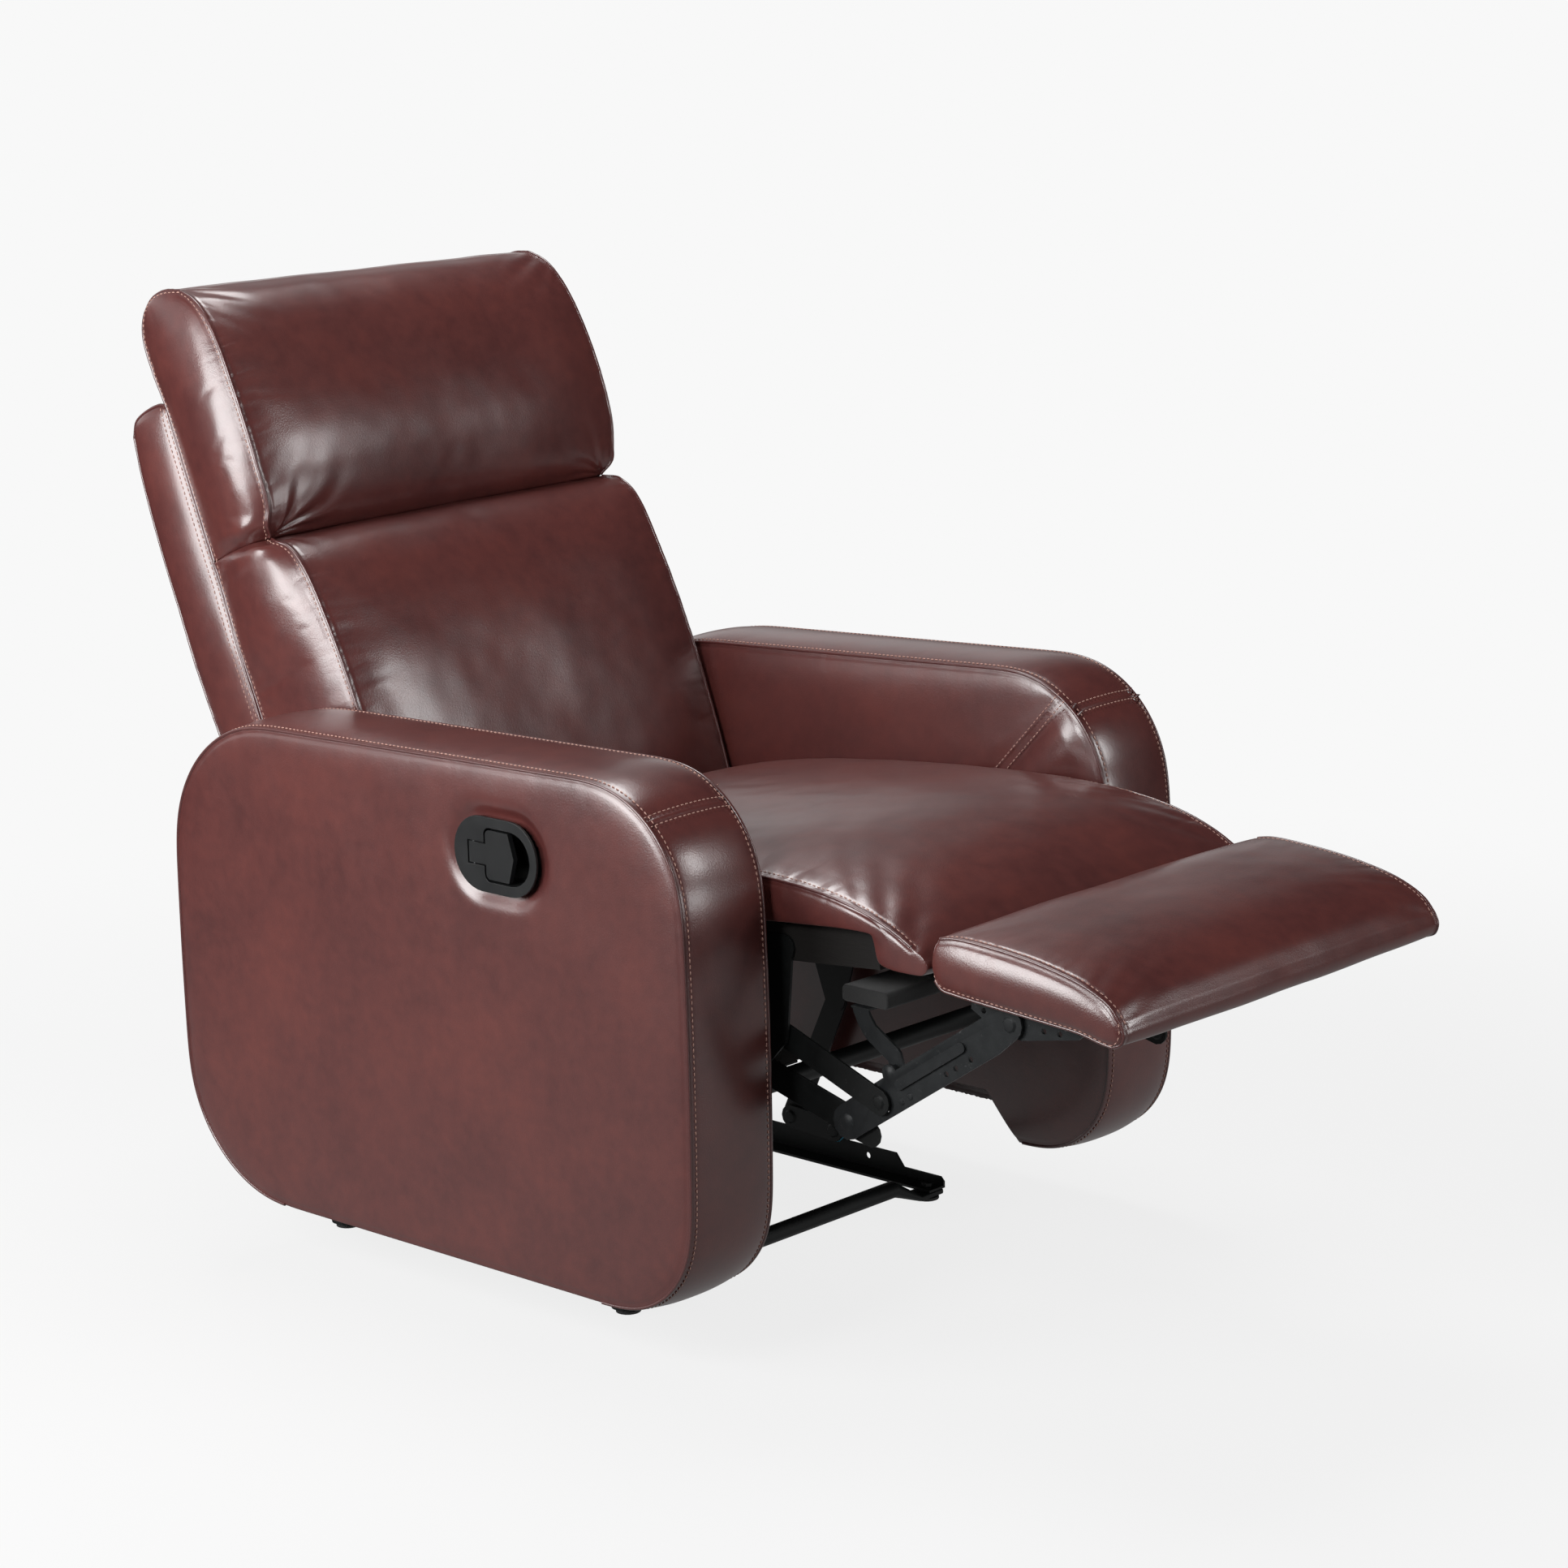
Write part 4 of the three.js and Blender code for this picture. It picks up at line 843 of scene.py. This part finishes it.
    # part of the seam at the side; an inset moves it onto the face, a negative one onto the gusset
    def seam(self, side, along="top", inset=0.0, lift=0.0):
        n, k = self.n, self.k
        pieces = {"top": (0, n), "end": (n - 1, n + k - 1), "low": (n + k - 2, 2 * n + k - 2)}
        a, b = pieces[along]
        if inset >= 0:
            return self.ring(side * (1 - inset / self.s["half"]), lift)[a:b]
        panel = self.gusset(side)
        edge, inner = {"top": (panel[:, 0], panel[:, 3]), "low": (panel[:, -1], panel[:, -4]),
                       "end": (panel[-1], panel[-4])}[along]
        way = inner - edge
        reach = np.linalg.norm(way, axis=1)[:, None] + 1e-9
        return edge + way / reach * -inset


def chairPlace(x, yz):
    return np.stack([x, yz[:, 0] * mm + chairY, yz[:, 1] * mm + armZ], axis=1)


def tiltedPlace(origin, tilt, slump=0.0):
    c, s = math.cos(math.radians(tilt)), math.sin(math.radians(tilt))

    def place(x, yz):
        y, z = yz[:, 0] * mm, yz[:, 1] * mm
        z = z - slump * x * np.clip(z - 430 * mm, 0, 1) / 0.3
        x = x + 3 * mm * np.clip((z - 330 * mm) / 0.07, 0, 1)
        return np.stack([x, origin[0] + y * c + z * s, origin[1] - y * s + z * c], axis=1)
    return place


# outlines are written in mm, and half the width becomes metres here
def widths(settings):
    return dict(settings, half=settings["half"] * mm)


seat = widths({
    "give": 0.45, "half": 261, "crown": 27, "round": (2.3, 0.62), "gusset": 3.5 * mm,
    "count": (150, 16), "across": 96,
    "top": [(146, 392), (60, 409), (0, 418), (-180, 438), (-350, 449), (-450, 446), (-514, 435), (-556, 421),
            (-580, 409)],
    "end": [(-580, 409), (-596, 399), (-601, 390), (-595, 381), (-580, 379)],
    "low": [(166, 349), (120, 359), (-100, 378), (-400, 404), (-505, 413), (-526, 412), (-531, 398),
            (-535, 384), (-552, 379.5), (-580, 379)],
    "start": [(146, 392), (157, 386), (162, 372), (172, 364), (177, 357), (166, 349)],
    "share": [[0.15, 0.8, 1, 1, 1, 1, 1, 0.75, 0.3], [0.3, 0.1], [0, 0], [0, 0.1]],
})
backOrigin = (jointAt["back_recline"].y - 2 * mm, jointAt["back_recline"].z + 10 * mm)
backTilt = 22
headrest = widths({
    "give": 0.9, "half": 267, "crown": 15, "round": (4.0, 0.85), "gusset": 15 * mm,
    "count": (96, 30), "across": 92,
    "gussetShare": [0.5, 0.8, 0.9, 0.9, 0.9, 0.8], "gussetRound": (1.0, 0.3), "tuck": (0, 7, 11),
    "top": [(58, 430), (45, 440), (35, 455), (28, 478), (24, 512), (22.5, 552), (24, 597), (29, 645),
            (38, 680), (52, 705), (72, 722)],
    "end": [(72, 722), (97, 730), (123, 729), (144, 717)],
    "low": [(157.4, 431), (157.4, 520), (156.5, 600), (161, 655), (160, 689), (154, 705), (144, 717)],
    "start": [(58, 430), (80, 431), (150, 431), (157.4, 431)],
    "share": [[0.0, 0.35, 0.8, 1, 1, 0.95, 0.8, 0.6, 0.4, 0.2, 0.06], [0.04, 0], [0, 0], [0, 0]],
    "flare": [[-1, 3, 8, 9, 9, 8, 6, 4, 2], [2, 2], [0, 0, 1, 2], [-1, 6, 9, 8, 3, 0]],
})
lumbar = widths({
    "give": 0.9, "half": 264, "crown": 15, "round": (4.0, 0.85), "gusset": 14 * mm,
    "count": (104, 30), "across": 92,
    "gussetShare": [0.25, 0.25, 0.25, 0.25, 0.25, 0.28, 0.32, 0.7, 1, 1, 0.6], "gussetRound": (1.0, 0.3),
    "tuck": (103, 6, 9),
    "top": [(0, 34), (-5, 100), (-8, 180), (-7.5, 240), (-4, 297), (2, 345), (10, 380), (20, 403), (34, 418),
            (56, 428.5)],
    "end": [(56, 428.5), (80, 430.5), (150, 430.8), (157.4, 430.8)],
    "low": [(157.4, 40), (157.4, 230), (157.4, 430.8)],
    "start": [(0, 34), (8, 29), (150, 31), (157.4, 40)],
    "share": [[0.5, 1, 1, 1, 1, 1, 0.9, 0.7, 0.4, 0], [0, 0], [0, 0], [0, 0.4]],
    "flare": [[0, 0, 0, 0, 0, 0, 0, 1, 0], [0, 9, 13, 12, 7, 4], [0, 0, 4], [0, 0]],
})
footrestOrigin = (jointAt["footrest_pivot"].y, jointAt["footrest_pivot"].z)
footrest = widths({
    "give": 0.3, "half": 258, "crown": 9, "round": (2.6, 0.6), "gusset": 9 * mm,
    "count": (90, 18), "across": 96,
    "gussetRound": (0.9, 0.3),
    "top": [(79, 74), (60, 78.5), (20, 80.5), (-45, 79), (-104, 71), (-138, 58), (-153, 44)],
    "end": [(-153, 44), (-158, 34), (-155, 23), (-144, 17)],
    "low": [(83, 29), (74, 21.5), (58, 20.2), (-60, 21), (-104, 21), (-128, 18), (-144, 17)],
    "start": [(79, 74), (85, 64), (87, 46), (83, 29)],
    "share": [[0.5, 1, 1, 1, 1, 0.9, 0.6], [0.5, 0.2], [0, 0], [0.1, 0.4]],
})


def backPlace():
    return tiltedPlace(backOrigin, backTilt, 0.022)


def footPlace():
    return tiltedPlace(footrestOrigin, -4)


settling = {
    "frames": 18, "pressure": 4.0, "spare": 0.001, "cap": 24 * mm, "reach": 75.0, "middle": 0.15,
    "stiff": 15.0, "shear": 4.0, "bend": 2.0, "mass": 0.25, "quality": 5,
}


# Lets the cover swell over its filling, held at its seams. The cover is cut a little larger than the form.
def settle(obj, held, give):
    before = vertsOf(obj)
    gap, _ = seamCoordinates(before, held)
    pins = obj.vertex_groups.new(name="pins")
    for index in np.flatnonzero(gap < 1.0):
        pins.add([int(index)], 1.0, "REPLACE")
    modifier = obj.modifiers.new("settle", "CLOTH")
    cloth = modifier.settings
    cloth.quality, cloth.mass, cloth.vertex_group_mass = settling["quality"], settling["mass"], "pins"
    cloth.use_pressure, cloth.uniform_pressure_force = True, settling["pressure"]
    cloth.tension_stiffness = cloth.compression_stiffness = settling["stiff"]
    cloth.shear_stiffness, cloth.bending_stiffness = settling["shear"], settling["bend"]
    cloth.shrink_min = -settling["spare"]
    cloth.effector_weights.gravity = 0
    modifier.collision_settings.use_collision = False
    for number in range(1, settling["frames"] + 1):
        scene.frame_set(number)
    settled = obj.evaluated_get(bpy.context.evaluated_depsgraph_get())
    flat = np.empty(len(before) * 3)
    settled.data.vertices.foreach_get("co", flat)
    move = flat.reshape(-1, 3) - before
    size = np.linalg.norm(move, axis=1)[:, None]
    # drawn smooth in the middle, slack near the seams
    slack = settling["middle"] + (1 - settling["middle"]) * np.exp(-(gap / settling["reach"]) ** 2)
    taut = give * slack[:, None]
    obj.modifiers.clear()
    setVerts(obj, before + move * taut * np.minimum(1, settling["cap"] / np.maximum(size, 1e-9)))
    scene.frame_set(1)
    print("settled", obj.name, "by at most", round(float(size.max() / mm), 1), "mm")


def subdivide(obj):
    finer = obj.modifiers.new("finer", "SUBSURF")
    finer.levels = finer.render_levels = 1
    applyModifiers(obj)
    obj.data.polygons.foreach_set("use_smooth", [True] * len(obj.data.polygons))


# moves a line onto the finished surface of a piece, and a little above it
def onSurface(obj, lines, lift):
    work = bmesh.new()
    work.from_mesh(obj.data)
    tree = BVHTree.FromBMesh(work)
    out = []
    for line in lines:
        found = [tree.find_nearest(Vector(point)) for point in line]
        out.append(np.array([f[0] + f[1] * lift for f in found]))
    work.free()
    return out


leftFold = 0.4    # the left side's folds have this share of the right side's depth


# Folds that fan out over the face from the corners where a crease meets the side seams.
# Each fold: its angle up from the crease, its angular width, its depth and its length in mm.
def creaseFolds(form, index, upward, folds):
    def sink(co, gap):
        depth = np.zeros(len(co))
        for side in (-1, 1):
            corner = form.ring(side)[index]
            inward = (corner[0] - co[:, 0]) * side / mm
            rise = np.hypot(co[:, 1] - corner[1], co[:, 2] - corner[2]) * np.sign(co[:, 2] - corner[2])
            rise = upward * rise / mm
            away = np.hypot(inward, rise)
            angle = np.degrees(np.arctan2(rise, np.maximum(inward, 1e-6)))
            onFace = (inward > 1.5) & (rise > 0)
            for middle, width, deep, length in folds:
                bend = middle + 6 * np.sin(away / 23 + middle)
                shape = np.exp(-((angle - bend) / width) ** 2)
                shape -= 0.5 * np.exp(-((angle - bend - 1.9 * width) / width) ** 2)
                shape *= np.exp(-(away / length) ** 2) * np.clip(away / 12, 0, 1)
                depth -= onFace * deep * (1.0 if side < 0 else leftFold) * shape
        return depth
    return sink


def makeCushion(name, settings, place, body, replaced, look, seed, seamSides, extra=None):
    form = Cushion(settings, place)
    extra = extra(form) if extra else None
    obj = form.mesh(name)
    seams = [form.seam(side, part) for side in (-1, 1) for part in seamSides]
    held = [form.seam(side, part) for side in (-1, 1) for part in ("top", "end", "low")]
    settle(obj, held, settings["give"])
    subdivide(obj)
    dressLeather(obj, seams, look, seed, extra)
    finishLeather(obj, body, replaced)
    rows = [form.seam(side, part, inset) for side in (-1, 1) for part, inset in seamSides.items()]
    for welt in onSurface(obj, seams, -seamKit["weltSink"]):
        sew(body, welt)
    sew(body, None, onSurface(obj, rows, seamKit["lift"]))


cushionLook = {
    "pitch": 7.5, "width": 3.0, "depth": 0.75, "reach": 11, "fill": 2.0, "groove": 0.5, "stitch": 5.5,
    "sideCalm": 0.6,
}
makeCushion("seatCushion", seat, chairPlace, "seat", ["seat_cushion"],
            dict(cushionLook, pitchFill=0.15, fill=2.4, depth=0.6, reach=15), 41, {"top": 5.5 * mm})
makeCushion("headrestCushion", headrest, backPlace(), "back", ["headrest_cushion"], cushionLook, 51,
            {"top": -5 * mm, "end": -6 * mm, "low": -6 * mm},
            lambda form: creaseFolds(form, 0, 1, [(14, 5, 3.4, 62), (33, 6, 3.2, 74), (55, 6.5, 2.6, 58)]))
makeCushion("lumbarCushion", lumbar, backPlace(), "back", ["lumbar_cushion"], cushionLook, 61,
            {"top": -5 * mm, "low": -6 * mm},
            lambda form: creaseFolds(form, form.n - 1, -1, [(22, 8, 1.8, 40), (52, 8, 1.6, 36)]))
makeCushion("footrestPad", footrest, footPlace(), "footrest", ["footrest_pad"],
            dict(cushionLook, depth=0.4, fill=1.1, reach=8), 71,
            {"top": 5.5 * mm, "end": -5.5 * mm, "low": -5 * mm})
print("cushions done")


shell = widths({
    "half": 266, "crown": 3, "round": (3.0, 0.7), "gusset": 12 * mm, "count": (120, 24), "across": 110,
    "gussetShare": [0.2, 0.2, 0.2, 0.25, 0.45, 0.8, 1, 1, 1], "gussetRound": (0.8, 0.25),
    "top": [(158.3, -18), (158.3, 612)],
    "end": [(158.3, 612), (166, 617.5), (198, 618.5), (219, 613), (231, 598)],
    "low": [(219, -12), (229, 140), (240, 300), (244, 438), (239, 543), (231, 598)],
    "start": [(158.3, -18), (208, -18), (219, -12)],
    "share": [[0, 0], [0, 0.6], [1, 1, 1, 0.6], [0, 0]],
})


def makeShell():
    form = Cushion(shell, backPlace())
    obj = form.mesh("backShell")
    seams = [form.seam(side, part) for side in (-1, 1) for part in ("top", "end", "low")]
    dressLeather(obj, seams, dict(cushionLook, depth=0.35, fill=1.3, reach=9), 81)
    finishLeather(obj, "back", ["back_shell"])
    for welt in onSurface(obj, seams, -seamKit["weltSink"]):
        sew("back", welt)
    insets = (("top", -5 * mm), ("top", -11 * mm), ("end", 5.5 * mm), ("low", 5.5 * mm))
    rows = [form.seam(side, part, inset) for side in (-1, 1) for part, inset in insets]
    sew("back", None, onSurface(obj, rows, seamKit["lift"]))


makeShell()


def lineObject(name, lines):
    verts, edges = [], []
    for line in lines:
        start = len(verts)
        verts += [tuple(p) for p in line]
        edges += [(i, i + 1) for i in range(start, len(verts) - 1)]
    mesh = bpy.data.meshes.new(name)
    mesh.from_pydata(verts, edges, [])
    obj = bpy.data.objects.new(name, mesh)
    scene.collection.objects.link(obj)
    return obj


class Growth:
    # a Geometry Nodes tree made in code: named inputs, nodes, links
    def __init__(self, name, inputs):
        self.tree = bpy.data.node_groups.new(name, "GeometryNodeTree")
        face = self.tree.interface
        face.new_socket("Geometry", in_out="INPUT", socket_type="NodeSocketGeometry")
        face.new_socket("Geometry", in_out="OUTPUT", socket_type="NodeSocketGeometry")
        self.ids = {}
        for key, kind in inputs.items():
            self.ids[key] = face.new_socket(key, in_out="INPUT", socket_type="NodeSocket" + kind).identifier
        self.input = self.tree.nodes.new("NodeGroupInput")
        self.output = self.tree.nodes.new("NodeGroupOutput")

    def add(self, kind, inputs=None, **settings):
        node = self.tree.nodes.new(kind)
        for key, value in settings.items():
            setattr(node, key, value)
        for key, value in (inputs or {}).items():
            if isinstance(value, bpy.types.NodeSocket):
                self.tree.links.new(value, node.inputs[key])
            else:
                node.inputs[key].default_value = value
        return node

    def close(self, geometry):
        self.tree.links.new(geometry, self.output.inputs[0])

    # runs the tree on an object and leaves the result as its plain mesh
    def grow(self, obj, values):
        modifier = obj.modifiers.new("growth", "NODES")
        modifier.node_group = self.tree
        for key, value in values.items():
            modifier[self.ids[key]] = value
        applyModifiers(obj)


def weltTree():
    g = Growth("welt", {"Radius": "Float", "Material": "Material"})
    line = g.add("GeometryNodeMeshToCurve", {"Mesh": g.input.outputs["Geometry"]})
    ring = g.add("GeometryNodeCurvePrimitiveCircle", {"Resolution": 8, "Radius": g.input.outputs["Radius"]})
    tube = g.add("GeometryNodeCurveToMesh", {"Curve": line.outputs[0], "Profile Curve": ring.outputs[0],
                                             "Fill Caps": True})
    smooth = g.add("GeometryNodeSetShadeSmooth", {"Geometry": tube.outputs[0]})
    paint = g.add("GeometryNodeSetMaterial", {"Geometry": smooth.outputs[0],
                                              "Material": g.input.outputs["Material"]})
    g.close(paint.outputs[0])
    return g


def stitchTree():
    g = Growth("stitches", {"Pitch": "Float", "Length": "Float", "Thickness": "Float",
                            "Material": "Material"})
    line = g.add("GeometryNodeMeshToCurve", {"Mesh": g.input.outputs["Geometry"]})
    places = g.add("GeometryNodeCurveToPoints",
                   {"Curve": line.outputs[0], "Length": g.input.outputs["Pitch"]}, mode="LENGTH")
    bead = g.add("GeometryNodeMeshUVSphere", {"Segments": 6, "Rings": 4, "Radius": 0.5})
    thickness = g.input.outputs["Thickness"]
    size = g.add("ShaderNodeCombineXYZ", {"X": thickness, "Y": thickness, "Z": g.input.outputs["Length"]})
    shaped = g.add("GeometryNodeTransform", {"Geometry": bead.outputs[0], "Scale": size.outputs[0]})
    turn = g.add("FunctionNodeAlignRotationToVector", {"Vector": places.outputs["Tangent"]}, axis="Z")
    copies = g.add("GeometryNodeInstanceOnPoints", {
        "Points": places.outputs[0], "Instance": shaped.outputs[0], "Rotation": turn.outputs[0]})
    real = g.add("GeometryNodeRealizeInstances", {"Geometry": copies.outputs[0]})
    smooth = g.add("GeometryNodeSetShadeSmooth", {"Geometry": real.outputs[0]})
    paint = g.add("GeometryNodeSetMaterial", {"Geometry": smooth.outputs[0],
                                              "Material": g.input.outputs["Material"]})
    g.close(paint.outputs[0])
    return g


welts, stitches = weltTree(), stitchTree()
for body, rows in seamRows.items():
    if rows["welt"]:
        obj = lineObject(f"welt_{body}", rows["welt"])
        welts.grow(obj, {"Radius": seamKit["weltRadius"], "Material": materials["leather"]})
        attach(obj, body)
    obj = lineObject(f"stitches_{body}", rows["stitch"])
    stitches.grow(obj, {"Pitch": seamKit["pitch"], "Length": seamKit["length"],
                        "Thickness": seamKit["thickness"], "Material": materials["thread"]})
    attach(obj, body)
    print("sewn", body, len(obj.data.polygons))


slotOf = {row["node"]: row["material_slot"] for row in frame["record"]["subparts"]}
rigid = {"bevel": 0.5 * mm, "clothEdge": 2.5 * mm, "sharp": 36.0, "flat": 1.5}


# A steel or plastic part with its facets merged and its edges broken, in place of the plain solid.
def easeEdges(node, width):
    source = nodes[node]
    work = bmesh.new()
    work.from_mesh(source.data)
    bmesh.ops.remove_doubles(work, verts=work.verts, dist=0.01 * mm)
    bmesh.ops.dissolve_limit(work, angle_limit=math.radians(rigid["flat"]),
                             verts=work.verts, edges=work.edges)
    limit = math.radians(rigid["sharp"])
    for edge in work.edges:
        edge.smooth = len(edge.link_faces) == 2 and edge.calc_face_angle(0) < limit
    for face in work.faces:
        face.smooth = True
    first, *rest = node.split("_")
    mesh = bpy.data.meshes.new(node)
    work.to_mesh(mesh)
    work.free()
    obj = bpy.data.objects.new(first + "".join(word.title() for word in rest), mesh)
    scene.collection.objects.link(obj)
    obj.data.materials.append(materials[slotOf[node]])
    bevel = obj.modifiers.new("edges", "BEVEL")
    bevel.width, bevel.segments, bevel.limit_method, bevel.angle_limit = width, 2, "ANGLE", limit
    bevel.use_clamp_overlap, bevel.harden_normals = True, True
    applyModifiers(obj)
    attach(obj, bodyOf[node])
    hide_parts(node)


plainSlots = {"spring_steel", "webbing", "black_cloth", "wood", "dark_wood"}
for node, slot in slotOf.items():
    if slot == "leather":
        continue
    if slot in plainSlots and node != "flipper_board":
        nodes[node].data.materials.clear()
        nodes[node].data.materials.append(materials[slot])
    else:
        easeEdges(node, rigid["clothEdge"] if node == "flipper_board" else rigid["bevel"])
print("hard parts done")


# The floor holds painted light. For reflected rays it glows near the chair and fades further out, which is a
# painted reflection on the leather. To bounce light it is near-black, which paints shade under the chair.
stageLook = {
    "white": 0.9387, "floorHalf": 30.0, "floorDrop": 0.4 * mm, "paint": 0.68, "bounce": 0.045,
    "shadow": 0.13, "shadowReach": (0.9, 2.2), "sheen": 0.38, "sheenReach": (0.8, 2.8), "farSheen": 0.03,
    "ambient": 0.025, "rearGlow": 1.4, "wallFrom": (0.4, 0.8), "wallFoot": (0.02, 0.09),
    "wallFade": (0.08, 0.32), "wallTop": 0.35,
}


def floorMaterial():
    s = Shader("floorPaint")
    camera, glossy = s.ray("Camera"), s.ray("Glossy")
    away = s.add("VectorMath", {"operation": "LENGTH"}, {0: s.coords}, "Value")
    near = 1 - s.level(away, stageLook["shadowReach"], smooth=True)
    # painted shade: only the camera sees the pale floor, and bounce light sees a near-black one
    paint = s.mix(camera, grey(stageLook["bounce"]), grey(stageLook["paint"]))
    s.set(colour=paint, roughness=0.9, specular=0.0)
    # painted reflection: a glow near the chair that only reflected rays see
    lit = s.level(away, stageLook["sheenReach"])
    paintedReflection = s.mix(lit, grey(stageLook["sheen"]), grey(stageLook["farSheen"]))
    glow = s.add("Emission", {}, {"Color": s.mix(camera, paintedReflection, grey(stageLook["white"]))})
    share = (1 - near * stageLook["shadow"]) * s.maths("MAXIMUM", camera, glossy)
    painted = Wire(s, s.nodes["Principled BSDF"].outputs[0])
    blend = s.add("MixShader", {}, {0: share, 1: painted, 2: glow})
    s.feed(s.nodes["Material Output"].inputs["Surface"], blend)
    return s.owner


def addFloor():
    half = stageLook["floorHalf"]
    z = cadBounds[0][2] - stageLook["floorDrop"]
    obj = newMesh("floor", [(-half, -half, z), (half, -half, z), (half, half, z), (-half, half, z)],
                  [(0, 1, 2, 3)], False)
    obj.data.materials.append(floorMaterial())


# A pale wall behind the chair and a dark room in front of it, which the leather mirrors.
def addWorld():
    scene.world = bpy.data.worlds.new("studio")
    s = Shader("studio", scene.world)
    depth = s.add("SeparateXYZ", {}, {"Vector": s.coords}, "Y")
    height = s.add("SeparateXYZ", {}, {"Vector": s.coords}, "Z")
    wall = s.level(depth, stageLook["wallFrom"]) * s.level(height, stageLook["wallFoot"])
    wall = wall * s.level(height, stageLook["wallFade"], (1.0, stageLook["wallTop"]))
    room = s.mix(wall, grey(stageLook["ambient"]), grey(stageLook["rearGlow"]))
    seen = s.mix(s.ray("Glossy"), grey(stageLook["ambient"] * 2), room)
    s.feed(s.nodes["Background"].inputs["Color"], s.mix(s.ray("Camera"), seen, grey(stageLook["white"])))


lamps = {
    "leftStrip": {"at": (-2.3, 0.9, 1.15), "aim": (0, 0.8, 1.0), "size": (1.4, 1.2), "watts": 60},
    "leftHigh": {"at": (-3.1, -0.6, 2.2), "aim": (0.1, 0, 0.5), "size": (1.0, 1.0), "watts": 58},
    "leftFront": {"at": (-1.6, -3.5, 0.75), "aim": (-0.3, 0, 0.5), "size": (0.7, 1.6), "watts": 17},
    "front": {"at": (1.85, -3.2, 2.25), "aim": (0, 0.3, 0.75), "size": (0.7, 1.0), "watts": 30},
    "frontLow": {"at": (1.4, -3.6, 0.5), "aim": (0, 0, 0.5), "size": (1.2, 1.0), "watts": 24},
    "overhead": {"at": (0.4, 0.9, 3.2), "aim": (0, -0.1, 0.4), "size": (1.4, 1.4), "watts": 60},
}


def addLamps():
    for name, lamp in lamps.items():
        data = bpy.data.lights.new(name, "AREA")
        data.shape, data.size, data.size_y = "RECTANGLE", *lamp["size"]
        data.energy = lamp["watts"]
        obj = bpy.data.objects.new(name, data)
        scene.collection.objects.link(obj)
        obj.location = lamp["at"]
        obj.rotation_euler = (Vector(lamp["aim"]) - Vector(lamp["at"])).to_track_quat("-Z", "Y").to_euler()
        obj.visible_camera = False


addFloor()
addWorld()
addLamps()
scene.view_settings.view_transform = "Standard"
print("stage done")
